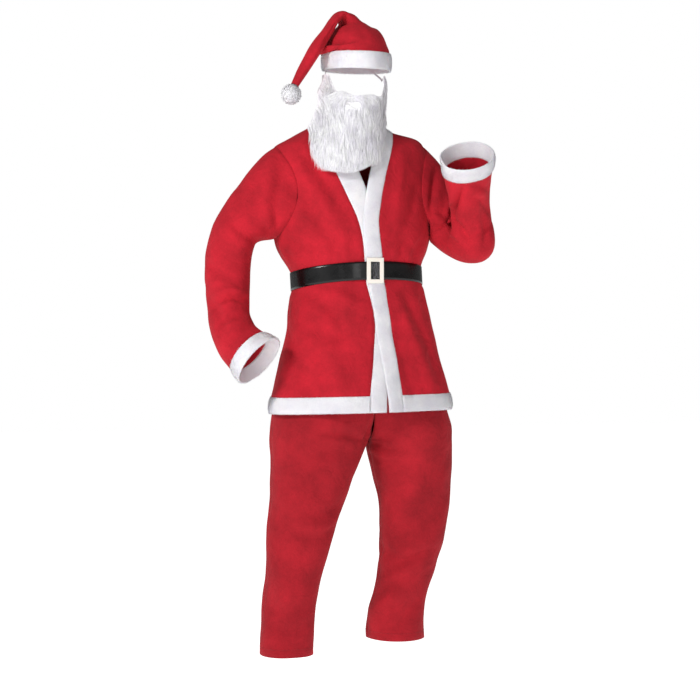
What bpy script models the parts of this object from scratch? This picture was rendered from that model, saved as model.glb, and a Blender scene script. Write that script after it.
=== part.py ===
# Santa suit, worn form: jacket, belt, trousers, hat and beard, each piece of cloth a thin wall.
# The origin is the middle of the shoulders, level with the base of the neck. +Z is up, the suit faces -Y,
# and +X is the wearer's left. Levels are heights above the origin, in metres.
import bpy
import bmesh
import math
import random
from mathutils import Vector

# Driving dimensions
FELT = 0.002              # red brushed felt
FLEECE = 0.003            # white trim
VINYL = 0.0015            # belt strap
SEAM_GAP = 0.0003         # between two cut edges
BAND = 0.045              # width of the front bands, hem bands and cuffs
BELT_HEIGHT = 0.050
JACKET_HEM = -0.803
TROUSER_WAIST = -0.424
WAISTBAND = 0.036
BUCKLE_ACROSS = 0.009     # middle of the buckle to the wearer's left of the waist's middle
BUCKLE_SIZE = (0.050, 0.072)
BUCKLE_BAR = 0.0115
BUCKLE_THICK = 0.004
POMPOM_RADIUS = 0.0285
ROUNDNESS = 2.25          # superellipse power of the jacket's and trousers' rings

# Counts of grid steps
ARMHOLE_STEPS = 8         # on each half of an armhole
FRONT_COLUMNS = 8
SHOULDER_COLUMNS = 4
NECK_COLUMNS = 8
LEG_COLUMNS = 9


class Table:
    """Rows of named columns. The first column is the key, and the rest are read by a smooth curve."""

    def __init__(self, columns, rows):
        self.columns = columns.split()
        self.rows = rows

    def slope(self, column, row):
        if row in (0, len(self.rows) - 1):
            return 0.0
        before, here, after = self.rows[row - 1], self.rows[row], self.rows[row + 1]
        left = (here[column] - before[column]) / (here[0] - before[0])
        right = (after[column] - here[column]) / (after[0] - here[0])
        if left * right <= 0:
            return 0.0
        return 2 * left * right / (left + right)

    def read(self, name, key):
        column = self.columns.index(name)
        rising = self.rows[-1][0] > self.rows[0][0]
        row = 0
        while row < len(self.rows) - 2 and (key > self.rows[row + 1][0]) == rising:
            row += 1
        start, end = self.rows[row], self.rows[row + 1]
        span = end[0] - start[0]
        f = min(1.0, max(0.0, (key - start[0]) / span))
        return (start[column] * (1 + 2 * f) * (1 - f) ** 2 + end[column] * f * f * (3 - 2 * f)
                + span * (self.slope(column, row) * f * (1 - f) ** 2 - self.slope(column, row + 1) * f * f * (1 - f)))


# The jacket's rings from the neck to the hem
TORSO = Table("level half_width front back middle", (
    (0.024, 0.074, 0.046, 0.054, 0.000),
    (0.000, 0.117, 0.072, 0.078, 0.001),
    (-0.026, 0.165, 0.090, 0.094, 0.003),
    (-0.058, 0.219, 0.106, 0.105, 0.005),
    (-0.095, 0.234, 0.119, 0.113, 0.007),
    (-0.150, 0.237, 0.131, 0.121, 0.009),
    (-0.230, 0.235, 0.138, 0.125, 0.012),
    (-0.300, 0.230, 0.139, 0.123, 0.016),
    (-0.350, 0.212, 0.139, 0.118, 0.021),
    (-0.386, 0.194, 0.135, 0.111, 0.025),
    (-0.396, 0.190, 0.133, 0.109, 0.026),
    (-0.448, 0.190, 0.133, 0.110, 0.029),
    (-0.460, 0.195, 0.136, 0.114, 0.030),
    (-0.500, 0.202, 0.144, 0.124, 0.033),
    (-0.580, 0.215, 0.150, 0.136, 0.036),
    (-0.690, 0.241, 0.160, 0.152, 0.038),
    (JACKET_HEM, 0.263, 0.170, 0.172, 0.040)))
NECK_LEVEL = 0.000        # the red cloth's neckline, where the bands begin
NECK_TOP = 0.024          # the bands' free edge at the neck
SHOULDER_TIP = -0.058
RAISED_SHOULDER = 0.018   # how far the raised arm lifts the left shoulder's tip
ARMPIT = -0.304
WAIST = -0.422            # middle of the belt, before its tilt
# Rows of the body's panels from the armpit to the hem band, with one at each edge of the belt
BODY_LEVELS = (ARMPIT, -0.345, -0.380, -0.396, -0.448, -0.462, -0.505, -0.565, -0.630, -0.695, JACKET_HEM + BAND)

# Sewn and free edges of the two fronts, as distances to the wearer's left of the ring's middle
RIGHT_FRONT = Table("level sewn free", (
    (0.000, -0.117, -0.074),
    (-0.030, -0.112, -0.066),
    (-0.086, -0.100, -0.052),
    (-0.144, -0.077, -0.029),
    (-0.198, -0.054, -0.005),
    (-0.265, -0.028, 0.018),
    (-0.337, -0.0175, 0.0275),
    (-0.450, -0.0165, 0.0285),
    (-0.567, -0.002, 0.043),
    (-0.650, -0.011, 0.034),
    (JACKET_HEM, -0.030, 0.018)))
LEFT_FRONT = Table("level sewn free", (
    (0.000, 0.119, 0.076),
    (-0.030, 0.108, 0.062),
    (-0.086, 0.085, 0.037),
    (-0.144, 0.062, 0.014),
    (-0.215, 0.043, -0.003),
    (-0.290, 0.032, -0.013),
    (-0.400, 0.033, -0.012),
    (-0.567, 0.043, -0.002),
    (-0.650, 0.055, 0.010),
    (JACKET_HEM, 0.070, 0.025)))
OVERLAP_LIFT = 0.0036     # how far the left front stands off the right one

# Trouser legs: middle of each ring, half its width, and its depth before and behind the middle
RIGHT_LEG = Table("level across along half_width front back", (
    (-0.420, 0.028, 0.000, 0.1840, 0.1265, 0.1030),
    (-0.465, 0.030, 0.000, 0.1850, 0.1280, 0.1030),
    (-0.500, 0.030, 0.000, 0.1880, 0.1320, 0.1090),
    (-0.560, 0.028, 0.000, 0.190, 0.134, 0.122),
    (-0.680, 0.008, 0.000, 0.198, 0.138, 0.136),
    (-0.800, -0.048, 0.000, 0.168, 0.134, 0.140),
    (-0.850, -0.072, 0.000, 0.150, 0.130, 0.136),
    (-0.889, -0.084, 0.000, 0.1407, 0.124, 0.130),
    (-0.940, -0.095, -0.002, 0.129, 0.118, 0.122),
    (-1.000, -0.110, -0.004, 0.116, 0.110, 0.112),
    (-1.110, -0.1315, -0.008, 0.100, 0.100, 0.098),
    (-1.205, -0.1535, -0.010, 0.0855, 0.092, 0.088),
    (-1.312, -0.1680, -0.004, 0.0765, 0.086, 0.084),
    (-1.400, -0.1750, 0.000, 0.0750, 0.084, 0.084),
    (-1.488, -0.1815, 0.004, 0.0755, 0.086, 0.086)))
LEFT_LEG = Table("level across along half_width front back", (
    (-0.420, 0.028, 0.000, 0.1840, 0.1265, 0.1030),
    (-0.465, 0.030, 0.000, 0.1850, 0.1280, 0.1030),
    (-0.500, 0.030, 0.000, 0.1880, 0.1320, 0.1090),
    (-0.560, 0.044, 0.000, 0.190, 0.134, 0.122),
    (-0.680, 0.070, 0.000, 0.198, 0.138, 0.136),
    (-0.800, 0.135, 0.000, 0.161, 0.134, 0.140),
    (-0.850, 0.167, 0.000, 0.143, 0.130, 0.136),
    (-0.889, 0.1845, 0.000, 0.1265, 0.124, 0.130),
    (-0.930, 0.1905, 0.002, 0.1215, 0.118, 0.122),
    (-0.969, 0.1960, 0.004, 0.1170, 0.112, 0.116),
    (-1.079, 0.2050, 0.006, 0.1020, 0.100, 0.102),
    (-1.1745, 0.2030, 0.010, 0.0950, 0.092, 0.094),
    (-1.246, 0.1890, 0.018, 0.0845, 0.088, 0.088),
    (-1.329, 0.1715, 0.032, 0.0765, 0.084, 0.084),
    (-1.387, 0.1665, 0.044, 0.0800, 0.085, 0.085),
    (-1.467, 0.1675, 0.058, 0.0840, 0.087, 0.087)))
LEG_MIDDLE = Table("level across", (
    (-0.420, 0.028), (-0.560, 0.036), (-0.680, 0.039), (-0.800, 0.045), (-0.850, 0.052), (-0.889, 0.0573)))
CROTCH = -0.889

# Sleeves: the lowered arm's line, then the raised arm's shoulder, elbow and wrist with the radius of its bend
RIGHT_ARM = Table("part x y z", (
    (0.00, -0.2260, 0.000, -0.180),
    (0.14, -0.2850, 0.010, -0.245),
    (0.27, -0.3260, 0.020, -0.313),
    (0.40, -0.3440, 0.025, -0.382),
    (0.54, -0.3475, 0.018, -0.458),
    (0.68, -0.3480, 0.000, -0.530),
    (0.80, -0.3380, -0.030, -0.586),
    (0.90, -0.3150, -0.060, -0.628),
    (1.00, -0.2830, -0.088, -0.660)))
LEFT_ARM = (Vector((0.243, 0.000, -0.180)), Vector((0.347, -0.100, -0.360)), Vector((0.256, -0.280, -0.096)),
            0.056)
RIGHT_SLEEVE = Table("part outer inner across", (
    (0.00, 0.080, 0.076, 0.082),
    (0.27, 0.068, 0.073, 0.078),
    (0.40, 0.065, 0.068, 0.074),
    (0.54, 0.062, 0.062, 0.070),
    (0.68, 0.058, 0.058, 0.067),
    (0.80, 0.061, 0.062, 0.068),
    (0.90, 0.068, 0.068, 0.071),
    (1.00, 0.078, 0.077, 0.077)))
LEFT_SLEEVE = Table("part outer inner across", (
    (0.00, 0.080, 0.080, 0.085),
    (0.22, 0.066, 0.072, 0.080),
    (0.34, 0.060, 0.058, 0.072),
    (0.45, 0.086, 0.050, 0.066),
    (0.55, 0.055, 0.048, 0.060),
    (0.66, 0.052, 0.052, 0.058),
    (0.82, 0.062, 0.062, 0.064),
    (0.92, 0.068, 0.068, 0.071),
    (1.00, 0.074, 0.074, 0.076)))
SLEEVE_HEAD = 0.26        # part of the sleeve that turns from the armhole's shape into a round section
SLEEVE_ROWS = 17
SHOULDER_FULLNESS = 0.068 # how far the sleeve's top runs on along the shoulder's slope
UNDERARM_FULLNESS = {-1: 0.024, 1: 0.004}     # the same for its underside, which drops from the armpit

# Hat: middle of each ring along the folded cone, with its half width and half depth
HAT = Table("part across along level half_width half_depth", (
    (0, 0.0220, -0.020, 0.2145, 0.0940, 0.113),
    (1, 0.0205, -0.020, 0.2400, 0.0810, 0.104),
    (2, 0.0100, -0.020, 0.2660, 0.0610, 0.086),
    (3, 0.0025, -0.020, 0.2880, 0.0400, 0.062),
    (4, -0.0065, -0.022, 0.3065, 0.0240, 0.045),
    (5, -0.0300, -0.028, 0.3180, 0.0122, 0.040),
    (6, -0.0505, -0.034, 0.3015, 0.0118, 0.038),
    (7, -0.0735, -0.041, 0.2670, 0.0145, 0.036),
    (8, -0.1040, -0.049, 0.2240, 0.0180, 0.032),
    (9, -0.1310, -0.055, 0.1820, 0.0165, 0.027),
    (10, -0.1560, -0.058, 0.1410, 0.0140, 0.022),
    (11, -0.1740, -0.060, 0.1100, 0.0110, 0.014)))
HAT_TILT = 0.085          # how far the band drops towards the brow, for each metre forward
HAT_BAND = (0.1665, 0.2140)
POMPOM_CENTRE = Vector((-0.1838, -0.060, 0.0849))

# Beard: rings about the head's axis
BEARD = Table("level middle half_width front", (
    (0.150, 0.010, 0.097, 0.126),
    (0.115, 0.006, 0.101, 0.138),
    (0.075, -0.004, 0.106, 0.152),
    (0.040, -0.010, 0.112, 0.156),
    (0.000, -0.020, 0.126, 0.156),
    (-0.050, -0.032, 0.150, 0.158),
    (-0.140, -0.036, 0.160, 0.162)))
BEARD_THICK = 0.009
LOCK_HEIGHT = 0.0045
BEARD_LEFT = Table("level across", (
    (0.147, 0.104), (0.090, 0.105), (0.050, 0.100), (0.002, 0.085), (-0.046, 0.065), (-0.085, 0.045), (-0.112, 0.018)))
BEARD_RIGHT = Table("level across", (
    (0.147, -0.086), (0.090, -0.102), (0.057, -0.109), (0.020, -0.126), (-0.016, -0.142), (-0.060, -0.139),
    (-0.100, -0.123), (-0.130, -0.096)))
# The face opening from the wearer's left temple to the right one
FACE_EDGE = Table("part across level", (
    (0.00, 0.104, 0.147), (0.05, 0.092, 0.147), (0.15, 0.084, 0.110), (0.27, 0.060, 0.080), (0.42, 0.012, 0.080),
    (0.52, -0.019, 0.073), (0.62, -0.048, 0.088), (0.77, -0.069, 0.094), (0.87, -0.074, 0.114),
    (0.95, -0.079, 0.147), (1.00, -0.086, 0.147)))
# Rows of the beard from the face opening down, with the mouth opening between two of them
BEARD_ROWS = (0.0, 0.06, 0.12, 0.178, 0.26, 0.35, 0.44, 0.53, 0.62, 0.71, 0.80, 0.90, 1.0)
BEARD_SAG = 0.012
MOUTH_ROW = 2
MOUTH_ACROSS = -0.033
MOUTH_HALF_WIDTH = 0.020

RED = (0.55, 0.014, 0.027)
DARK_RED = (0.42, 0.012, 0.020)
WHITE = (0.86, 0.85, 0.92)
FUR = (0.87, 0.86, 0.88)
BLACK = (0.01, 0.01, 0.01)
CREAM = (0.86, 0.84, 0.80)


def remove_old_objects():
    for old in list(bpy.data.objects):
        bpy.data.objects.remove(old, do_unlink=True)


def material(name, colour, roughness):
    made = bpy.data.materials.get(name) or bpy.data.materials.new(name)
    made.use_nodes = True
    shader = made.node_tree.nodes["Principled BSDF"]
    shader.inputs["Base Color"].default_value = (*colour, 1.0)
    shader.inputs["Roughness"].default_value = roughness
    shader.inputs["Metallic"].default_value = 0.0
    return made


def place(name, mesh, finish):
    made = bpy.data.objects.new(name, mesh)
    mesh.materials.append(finish)
    mesh.shade_smooth()
    collection = bpy.data.collections.get("santa_suit")
    collection.objects.link(made)
    return made


def ease(value):
    value = min(1.0, max(0.0, value))
    return value * value * (3 - 2 * value)


def signed_power(value, power):
    return math.copysign(abs(value) ** power, value)


def normal_at(surface, u, v, u_step=0.01, v_step=0.002):
    along_u = surface(u + u_step, v) - surface(u - u_step, v)
    along_v = surface(u, v + v_step) - surface(u, v - v_step)
    return along_u.cross(along_v).normalized()


def wall(name, surface, rows, thickness, finish, out=None, closed=False, skip=(), v_step=0.002, sense=1,
         raised=None):
    """A cloth wall on a surface: rows are lists of (u, v), out gives how far each point stands off, and
    raised lifts the outer face alone. Sense is -1 where the surface's own normal points inwards.
    Each open edge is drawn back by half a seam gap, and closed joins the last column to the first."""
    grid = []
    for row in rows:
        line = []
        for u, v in row:
            normal = normal_at(surface, u, v, v_step=v_step) * sense
            outer = surface(u, v) + normal * (out(u, v) if out else 0.0)
            line.append([outer + normal * (raised(u, v) if raised else 0.0), outer - normal * thickness])
        grid.append(line)
    height, width = len(grid), len(grid[0])

    def draw_back(edge, inside):
        for layer in (0, 1):
            direction = (inside[layer] - edge[layer]).normalized()
            edge[layer] = edge[layer] + direction * SEAM_GAP * 0.6

    if not closed:
        for line in grid:
            draw_back(line[0], line[1])
            draw_back(line[-1], line[-2])
    for column in range(width):
        draw_back(grid[0][column], grid[1][column])
        draw_back(grid[-1][column], grid[-2][column])

    shape = bmesh.new()
    verts = [[[shape.verts.new(grid[i][j][layer]) for j in range(width)] for i in range(height)] for layer in (0, 1)]
    edges = {}
    for i in range(height - 1):
        for j in range(width if closed else width - 1):
            if (i, j) in skip:
                continue
            k = (j + 1) % width
            ring = [(i, j), (i + 1, j), (i + 1, k), (i, k)]
            corners = [grid[a][b][0] for a, b in ring]
            turned = (corners[0] - corners[2]).length > (corners[1] - corners[3]).length
            order = ring[1:] + ring[:1] if turned else ring
            for face in (order[:3], [order[0], order[2], order[3]]):
                shape.faces.new([verts[0][a][b] for a, b in face])
                shape.faces.new([verts[1][a][b] for a, b in reversed(face)])
            for start, end in zip(ring, ring[1:] + ring[:1]):
                if (end, start) in edges:
                    del edges[(end, start)]
                else:
                    edges[(start, end)] = True
    for (a, b), (c, d) in edges:
        shape.faces.new([verts[0][c][d], verts[0][a][b], verts[1][a][b], verts[1][c][d]])
    loose = [v for v in shape.verts if not v.link_faces]
    bmesh.ops.delete(shape, geom=loose, context="VERTS")
    if shape.calc_volume(signed=True) < 0:
        bmesh.ops.reverse_faces(shape, faces=shape.faces)
    mesh = bpy.data.meshes.new(name)
    shape.to_mesh(mesh)
    shape.free()
    return place(name, mesh, finish)


# Jacket

def belt_tilt(angle):
    """How far the waist lies above its middle level at each angle round the body."""
    return 0.007 * math.sin(angle) + 0.0135 * math.cos(angle) - 0.006 * math.sin(angle) ** 2


def torso_folds(angle, level):
    """Soft folds: gathers above and below the belt, and broad flares towards the hem."""
    gathers = 0.0016 * math.cos(17 * angle + 0.6) * (math.exp(-((level + 0.505) / 0.035) ** 2)
                                                     + 0.7 * math.exp(-((level + 0.345) / 0.03) ** 2))
    flares = 0.0042 * (1 + math.cos(6 * angle + 1.0)) * ease((-0.50 - level) / 0.25)
    return gathers + flares


def torso(angle, level):
    """Point on the jacket. Angle 0 is the centre front and a quarter turn is the wearer's left side.
    The level is that of the untilted ring: the waist and hem tilt with the belt and the stance."""
    half_width = TORSO.read("half_width", level)
    depth = TORSO.read("front" if math.cos(angle) > 0 else "back", level)
    swell = 1 + torso_folds(angle, level) / 0.15
    across = TORSO.read("middle", level) + half_width * swell * signed_power(math.sin(angle), 2 / ROUNDNESS)
    along = -depth * swell * signed_power(math.cos(angle), 2 / ROUNDNESS)
    waist_rise = belt_tilt(angle) * ease((level + 0.66) / 0.12) * ease((-0.22 - level) / 0.12)
    hem_rise = 0.006 * math.sin(angle) * ease((-0.55 - level) / 0.2)
    near_tip = ease(-level / 0.05) * ease((level + 0.20) / 0.12)
    shoulder_rise = RAISED_SHOULDER * near_tip * ease((math.sin(angle) - 0.2) / 0.8)
    return Vector((across, along, level + waist_rise + hem_rise + shoulder_rise))


def front_angle(across, level):
    """Angle of the point on the front that lies this far to the wearer's left of the ring's middle."""
    share = across / TORSO.read("half_width", level)
    return math.asin(min(1.0, max(-1.0, signed_power(share, ROUNDNESS / 2))))


def armhole(side, turn):
    """Armhole edge in the torso's angle and level. Turn 0 is the shoulder tip, a half turn is the armpit,
    and the quarter between them is in front."""
    opening = math.radians(41 if math.sin(turn) > 0 else 37)
    level = (SHOULDER_TIP + ARMPIT) / 2 + (SHOULDER_TIP - ARMPIT) / 2 * math.cos(turn)
    from_front = math.pi / 2 - opening * math.sin(turn)
    return side * from_front, level


def edge_levels():
    """Levels of the front edge's points, close together over the shoulder."""
    upper = [NECK_LEVEL + (ARMPIT - NECK_LEVEL) * (step / ARMHOLE_STEPS) ** 1.5 for step in range(ARMHOLE_STEPS)]
    return upper + list(BODY_LEVELS)


def sewn_edge(table, level):
    return front_angle(table.read("sewn", level), level), level


def free_edge(table, level):
    rise = (NECK_TOP - NECK_LEVEL) * (1 - ease(-level / 0.05))
    return front_angle(table.read("free", level), level + rise), level + rise


def side_edge(side, behind):
    """Armhole, then side seam, from the shoulder tip to the hem."""
    points = []
    for step in range(ARMHOLE_STEPS + 1):
        turn = math.pi * step / ARMHOLE_STEPS
        points.append(armhole(side, -turn if behind else turn))
    return points + [(side * math.pi / 2, level) for level in BODY_LEVELS[1:]]


def patch(top, bottom, left, right, downs=None):
    """Rows of (u, v) that fill the space between four edges. The top edge's shape fades out as downs,
    one share for each row, goes from 0 to 1."""
    rows = []
    downs = downs or [i / (len(left) - 1) for i in range(len(left))]
    for start, end, down in zip(left, right, downs):
        row = []
        for j, (high, low) in enumerate(zip(top, bottom)):
            over = j / (len(top) - 1)
            point = []
            for axis in (0, 1):
                straight_top = (1 - over) * top[0][axis] + over * top[-1][axis]
                straight_bottom = (1 - over) * bottom[0][axis] + over * bottom[-1][axis]
                point.append((1 - over) * start[axis] + over * end[axis]
                             + (1 - down) * (high[axis] - straight_top) + down * (low[axis] - straight_bottom))
            row.append(tuple(point))
        rows.append(row)
    return rows


def between(start, end, steps):
    return [tuple(a + (b - a) * step / steps for a, b in zip(start, end)) for step in range(steps + 1)]


def left_lift(angle, level):
    """The left front stands off the right one near the centre, from the crossing of the bands to the hem."""
    across = torso(angle, level).x - TORSO.read("middle", level) - LEFT_FRONT.read("sewn", level)
    return OVERLAP_LIFT * (1 - ease(across / 0.045)) * ease((-0.09 - level) / 0.06)


def jacket_front(side, table, name, finish):
    left = [sewn_edge(table, level) for level in edge_levels()]
    right = side_edge(side, behind=False)
    corner = (side * math.pi / 2, NECK_LEVEL)
    left[0] = corner
    top = between(corner, (side * math.pi / 2, SHOULDER_TIP), FRONT_COLUMNS)
    bottom = between(left[-1], right[-1], FRONT_COLUMNS)
    out = left_lift if side > 0 else None
    wall(name, torso, patch(top, bottom, left, right), FELT, finish, out)


def back_top():
    """Shoulder seam, back neck and other shoulder seam, from the wearer's left to the right."""
    quarter = math.pi / 2
    left = between((quarter, SHOULDER_TIP), (quarter, NECK_LEVEL), SHOULDER_COLUMNS)
    neck = between((quarter, NECK_LEVEL), (3 * quarter, NECK_LEVEL), NECK_COLUMNS)
    right = between((3 * quarter, NECK_LEVEL), (3 * quarter, SHOULDER_TIP), SHOULDER_COLUMNS)
    return left + neck[1:] + right[1:]


def jacket_back(finish):
    left = side_edge(1, behind=True)
    right = [(angle + 2 * math.pi, level) for angle, level in side_edge(-1, behind=True)]
    top = back_top()
    bottom = between(left[-1], right[-1], len(top) - 1)
    downs = [min(1.0, step / ARMHOLE_STEPS) for step in range(len(left))]
    wall("jacket_back", torso, patch(top, bottom, left, right, downs), FELT, finish)


def front_band(side, table, name, finish):
    """Band from the centre back neck over the shoulder and down the front edge to the hem."""
    quarter = math.pi / 2
    rows = []
    for step in range(NECK_COLUMNS // 2):
        angle = side * (math.pi - quarter * step / (NECK_COLUMNS // 2))
        rows.append(between((angle, NECK_LEVEL), (angle, NECK_TOP), 2))
    levels = edge_levels() + [JACKET_HEM + BAND / 2, JACKET_HEM]
    for index, level in enumerate(levels):
        sewn = (side * quarter, level) if index == 0 else sewn_edge(table, level)
        free = (side * quarter, NECK_TOP) if index == 0 else free_edge(table, level)
        rows.append(between(sewn, free, 2))

    def out(angle, level):
        return 0.0006 + (left_lift(angle, level) if side > 0 else 0.0)

    wall(name, torso, rows, FLEECE, finish, out)


def hem_bands(finish):
    top, low = JACKET_HEM + BAND, JACKET_HEM
    quarter = math.pi / 2
    fleece = {"hem_band_right": (-1, RIGHT_FRONT), "hem_band_left": (1, LEFT_FRONT)}
    for name, (side, table) in fleece.items():
        rows = []
        for level in (top, (top + low) / 2, low):
            rows.append(between(sewn_edge(table, level), (side * quarter, level), FRONT_COLUMNS))

        def out(angle, level, side=side):
            return 0.0006 + (left_lift(angle, level) if side > 0 else 0.0)

        wall(name, torso, rows, FLEECE, finish, out)
    columns = 2 * SHOULDER_COLUMNS + NECK_COLUMNS
    rows = [between((quarter, level), (3 * quarter, level), columns) for level in (top, (top + low) / 2, low)]
    wall("hem_band_back", torso, rows, FLEECE, finish, lambda angle, level: 0.0006)


# Sleeves

class HangingArm:
    """Line of a lowered arm, read from its table. Its outward axis points away from the body."""

    def __init__(self, table):
        self.table = table
        centres = [self.centre(step / 40) for step in range(41)]
        self.length = sum((b - a).length for a, b in zip(centres, centres[1:]))

    def centre(self, part):
        return Vector([self.table.read(name, part) for name in "xyz"])

    def section(self, part):
        """Centre, direction, outward axis and cross axis at a part of the whole length."""
        near = min(0.93, part)
        along = (self.centre(near + 0.05) - self.centre(max(0.0, near - 0.05))).normalized()
        cross = Vector((0, -1, 0))
        cross = (cross - cross.dot(along) * along).normalized()
        return self.centre(part), along, along.cross(cross), cross


class RaisedArm:
    """Line of a raised arm: straight, then an arc about the elbow's hinge, then straight."""

    def __init__(self, shoulder, elbow, wrist, radius):
        self.shoulder = shoulder
        self.radius = radius
        self.upper = (elbow - shoulder).normalized()
        self.fore = (wrist - elbow).normalized()
        self.turn = self.upper.angle(self.fore)
        cut = radius * math.tan(self.turn / 2)
        self.first = (elbow - shoulder).length - cut
        self.arc = radius * self.turn
        self.last = (wrist - elbow).length - cut
        self.length = self.first + self.arc + self.last
        self.to_hinge = (self.fore - self.fore.dot(self.upper) * self.upper).normalized()
        self.cross = self.upper.cross(self.to_hinge).normalized()

    def section(self, part):
        """Centre, direction, outward axis and cross axis at a part of the whole length."""
        run = part * self.length
        start = self.shoulder + self.upper * min(run, self.first)
        if run <= self.first:
            return start, self.upper, -self.to_hinge, self.cross
        bend = min(run - self.first, self.arc) / self.radius
        hinge = start + self.to_hinge * self.radius
        outward = -self.to_hinge * math.cos(bend) + self.upper * math.sin(bend)
        along = self.upper * math.cos(bend) + self.to_hinge * math.sin(bend)
        centre = hinge + outward * self.radius
        return centre + along * max(0.0, run - self.first - self.arc), along, outward, self.cross


def sleeve_surface(side, arm, table):
    """Point on a sleeve. Turn 0 starts at the shoulder tip and a quarter turn is in front."""
    _, _, outward, cross = arm.section(0.0)
    start = math.atan2(cross.z, outward.z)
    ahead = outward * math.cos(start + math.pi / 2) + cross * math.sin(start + math.pi / 2)
    sense = 1 if ahead.y < 0 else -1

    def ring(turn, part):
        centre, _, outward, cross = arm.section(part)
        angle = start + sense * turn
        in_plane, across = math.cos(angle), math.sin(angle)
        reach = table.read("outer" if in_plane > 0 else "inner", part)
        radius = 1 / math.sqrt((in_plane / reach) ** 2 + (across / table.read("across", part)) ** 2)
        return centre + (outward * in_plane + cross * across) * radius

    def head(turn):
        """The armhole's edge, drawn in to stay clear of the panels."""
        angle, level = armhole(side, turn)
        middle = (SHOULDER_TIP + ARMPIT) / 2
        inside = 1 - 0.0008 / 0.12
        return torso(side * math.pi / 2 + (angle - side * math.pi / 2) * inside, middle + (level - middle) * inside)

    def point(turn, part):
        turn = math.remainder(turn, 2 * math.pi)
        if part >= SLEEVE_HEAD:
            return ring(turn, part)
        share = max(0.0, part) / SLEEVE_HEAD
        along = arm.section(SLEEVE_HEAD)[1]
        top = (1 + math.cos(turn)) / 2
        leave = (Vector((side * 0.87, 0, -0.50)) * SHOULDER_FULLNESS * top ** 1.5
                 + Vector((side * 0.50, 0, -0.87)) * UNDERARM_FULLNESS[side] * (1 - top)
                 + Vector((side * 0.010, 0, -0.006)))
        start_point, end = head(turn), ring(turn, SLEEVE_HEAD)
        points = (start_point, start_point + leave, end - along * (0.012 + 0.033 * top), end)
        weights = ((1 - share) ** 3, 3 * share * (1 - share) ** 2, 3 * share * share * (1 - share), share ** 3)
        return sum((p * w for p, w in zip(points, weights)), Vector((0, 0, 0)))

    return point


def sleeve(side, name, arm, table, felt, fleece):
    surface = sleeve_surface(side, arm, table)
    columns = 2 * ARMHOLE_STEPS
    cuff_start = 1 - BAND / arm.length
    turns = [side * 2 * math.pi * column / columns for column in range(columns)]
    parts = [cuff_start * row / SLEEVE_ROWS for row in range(SLEEVE_ROWS + 1)]
    parts[0] = 0.0
    rows = [[(turn, part) for turn in turns] for part in parts]
    wall("sleeve_" + name, surface, rows, FELT, felt, closed=True, v_step=0.004, sense=side)
    ends = [cuff_start, (cuff_start + 1) / 2, 1.0]
    rows = [[(turn, part) for turn in turns] for part in ends]
    wall("cuff_" + name, surface, rows, FLEECE, fleece, lambda u, v: 0.0008, closed=True, v_step=0.004,
         sense=side)


# Belt

def belt_stand_off(angle, level):
    """Clear of the jacket, and over both front bands at the centre."""
    across = torso(angle, level).x - TORSO.read("middle", WAIST)
    over_front = ease((across + 0.085) / 0.05) * ease((0.095 - across) / 0.05) if math.cos(angle) > 0 else 0.0
    return VINYL + 0.0008 + (OVERLAP_LIFT + 0.0006) * over_front


def belt(finish):
    columns = 56
    start = front_angle(BUCKLE_ACROSS, WAIST)
    rows = []
    for down in range(3):
        row = []
        for column in range(columns + 1):
            angle = start + 2 * math.pi * column / columns
            row.append((angle, WAIST + BELT_HEIGHT * (0.5 - down / 2)))
        rows.append(row)
    wall("belt", torso, rows, VINYL, finish, belt_stand_off)


def buckle(finish):
    """A plain rectangular frame, curved no more than a hard piece, in front of the strap's two ends."""
    angle, level = front_angle(BUCKLE_ACROSS, WAIST), WAIST
    normal = normal_at(torso, angle, level)
    seat = torso(angle, level) + normal * (belt_stand_off(angle, level) + 0.0012)
    frame = bpy.data.curves.new("buckle_outline", "CURVE")
    frame.dimensions = "2D"
    frame.fill_mode = "BOTH"
    frame.extrude = BUCKLE_THICK / 2
    for shrink, radius in ((0.0, 0.006), (BUCKLE_BAR, 0.002)):
        width, height = (size / 2 - shrink for size in BUCKLE_SIZE)
        outline = frame.splines.new("POLY")
        corners = [(sx * (width - radius), sy * (height - radius), quarter)
                   for quarter, (sx, sy) in enumerate(((1, 1), (-1, 1), (-1, -1), (1, -1)))]
        points = [(x + radius * math.cos((quarter + step / 3) * math.pi / 2),
                   y + radius * math.sin((quarter + step / 3) * math.pi / 2))
                  for x, y, quarter in corners for step in range(4)]
        outline.points.add(len(points) - 1)
        for target, (x, y) in zip(outline.points, points):
            target.co = (x, y, 0, 1)
        outline.use_cyclic_u = True
    guide = bpy.data.objects.new("buckle_guide", frame)
    bpy.data.collections["santa_suit"].objects.link(guide)
    bpy.context.view_layer.update()
    mesh = bpy.data.meshes.new_from_object(guide.evaluated_get(bpy.context.evaluated_depsgraph_get()))
    bpy.data.objects.remove(guide, do_unlink=True)
    shape = bmesh.new()
    shape.from_mesh(mesh)
    bmesh.ops.remove_doubles(shape, verts=shape.verts, dist=0.00001)
    bmesh.ops.recalc_face_normals(shape, faces=shape.faces)
    shape.to_mesh(mesh)
    shape.free()
    mesh.materials.clear()
    made = place("belt_buckle", mesh, finish)
    flat = Vector((normal.x, normal.y, 0)).normalized()
    made.rotation_euler = (math.pi / 2, 0, math.atan2(flat.x, -flat.y))
    made.location = seat + flat * BUCKLE_THICK / 2


# Trousers

def leg_folds(turn, level, phase):
    """Soft creases across the knee and shin."""
    return 0.0028 * math.cos(3 * turn + 26 * level + phase) * ease((-0.98 - level) / 0.1)


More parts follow.
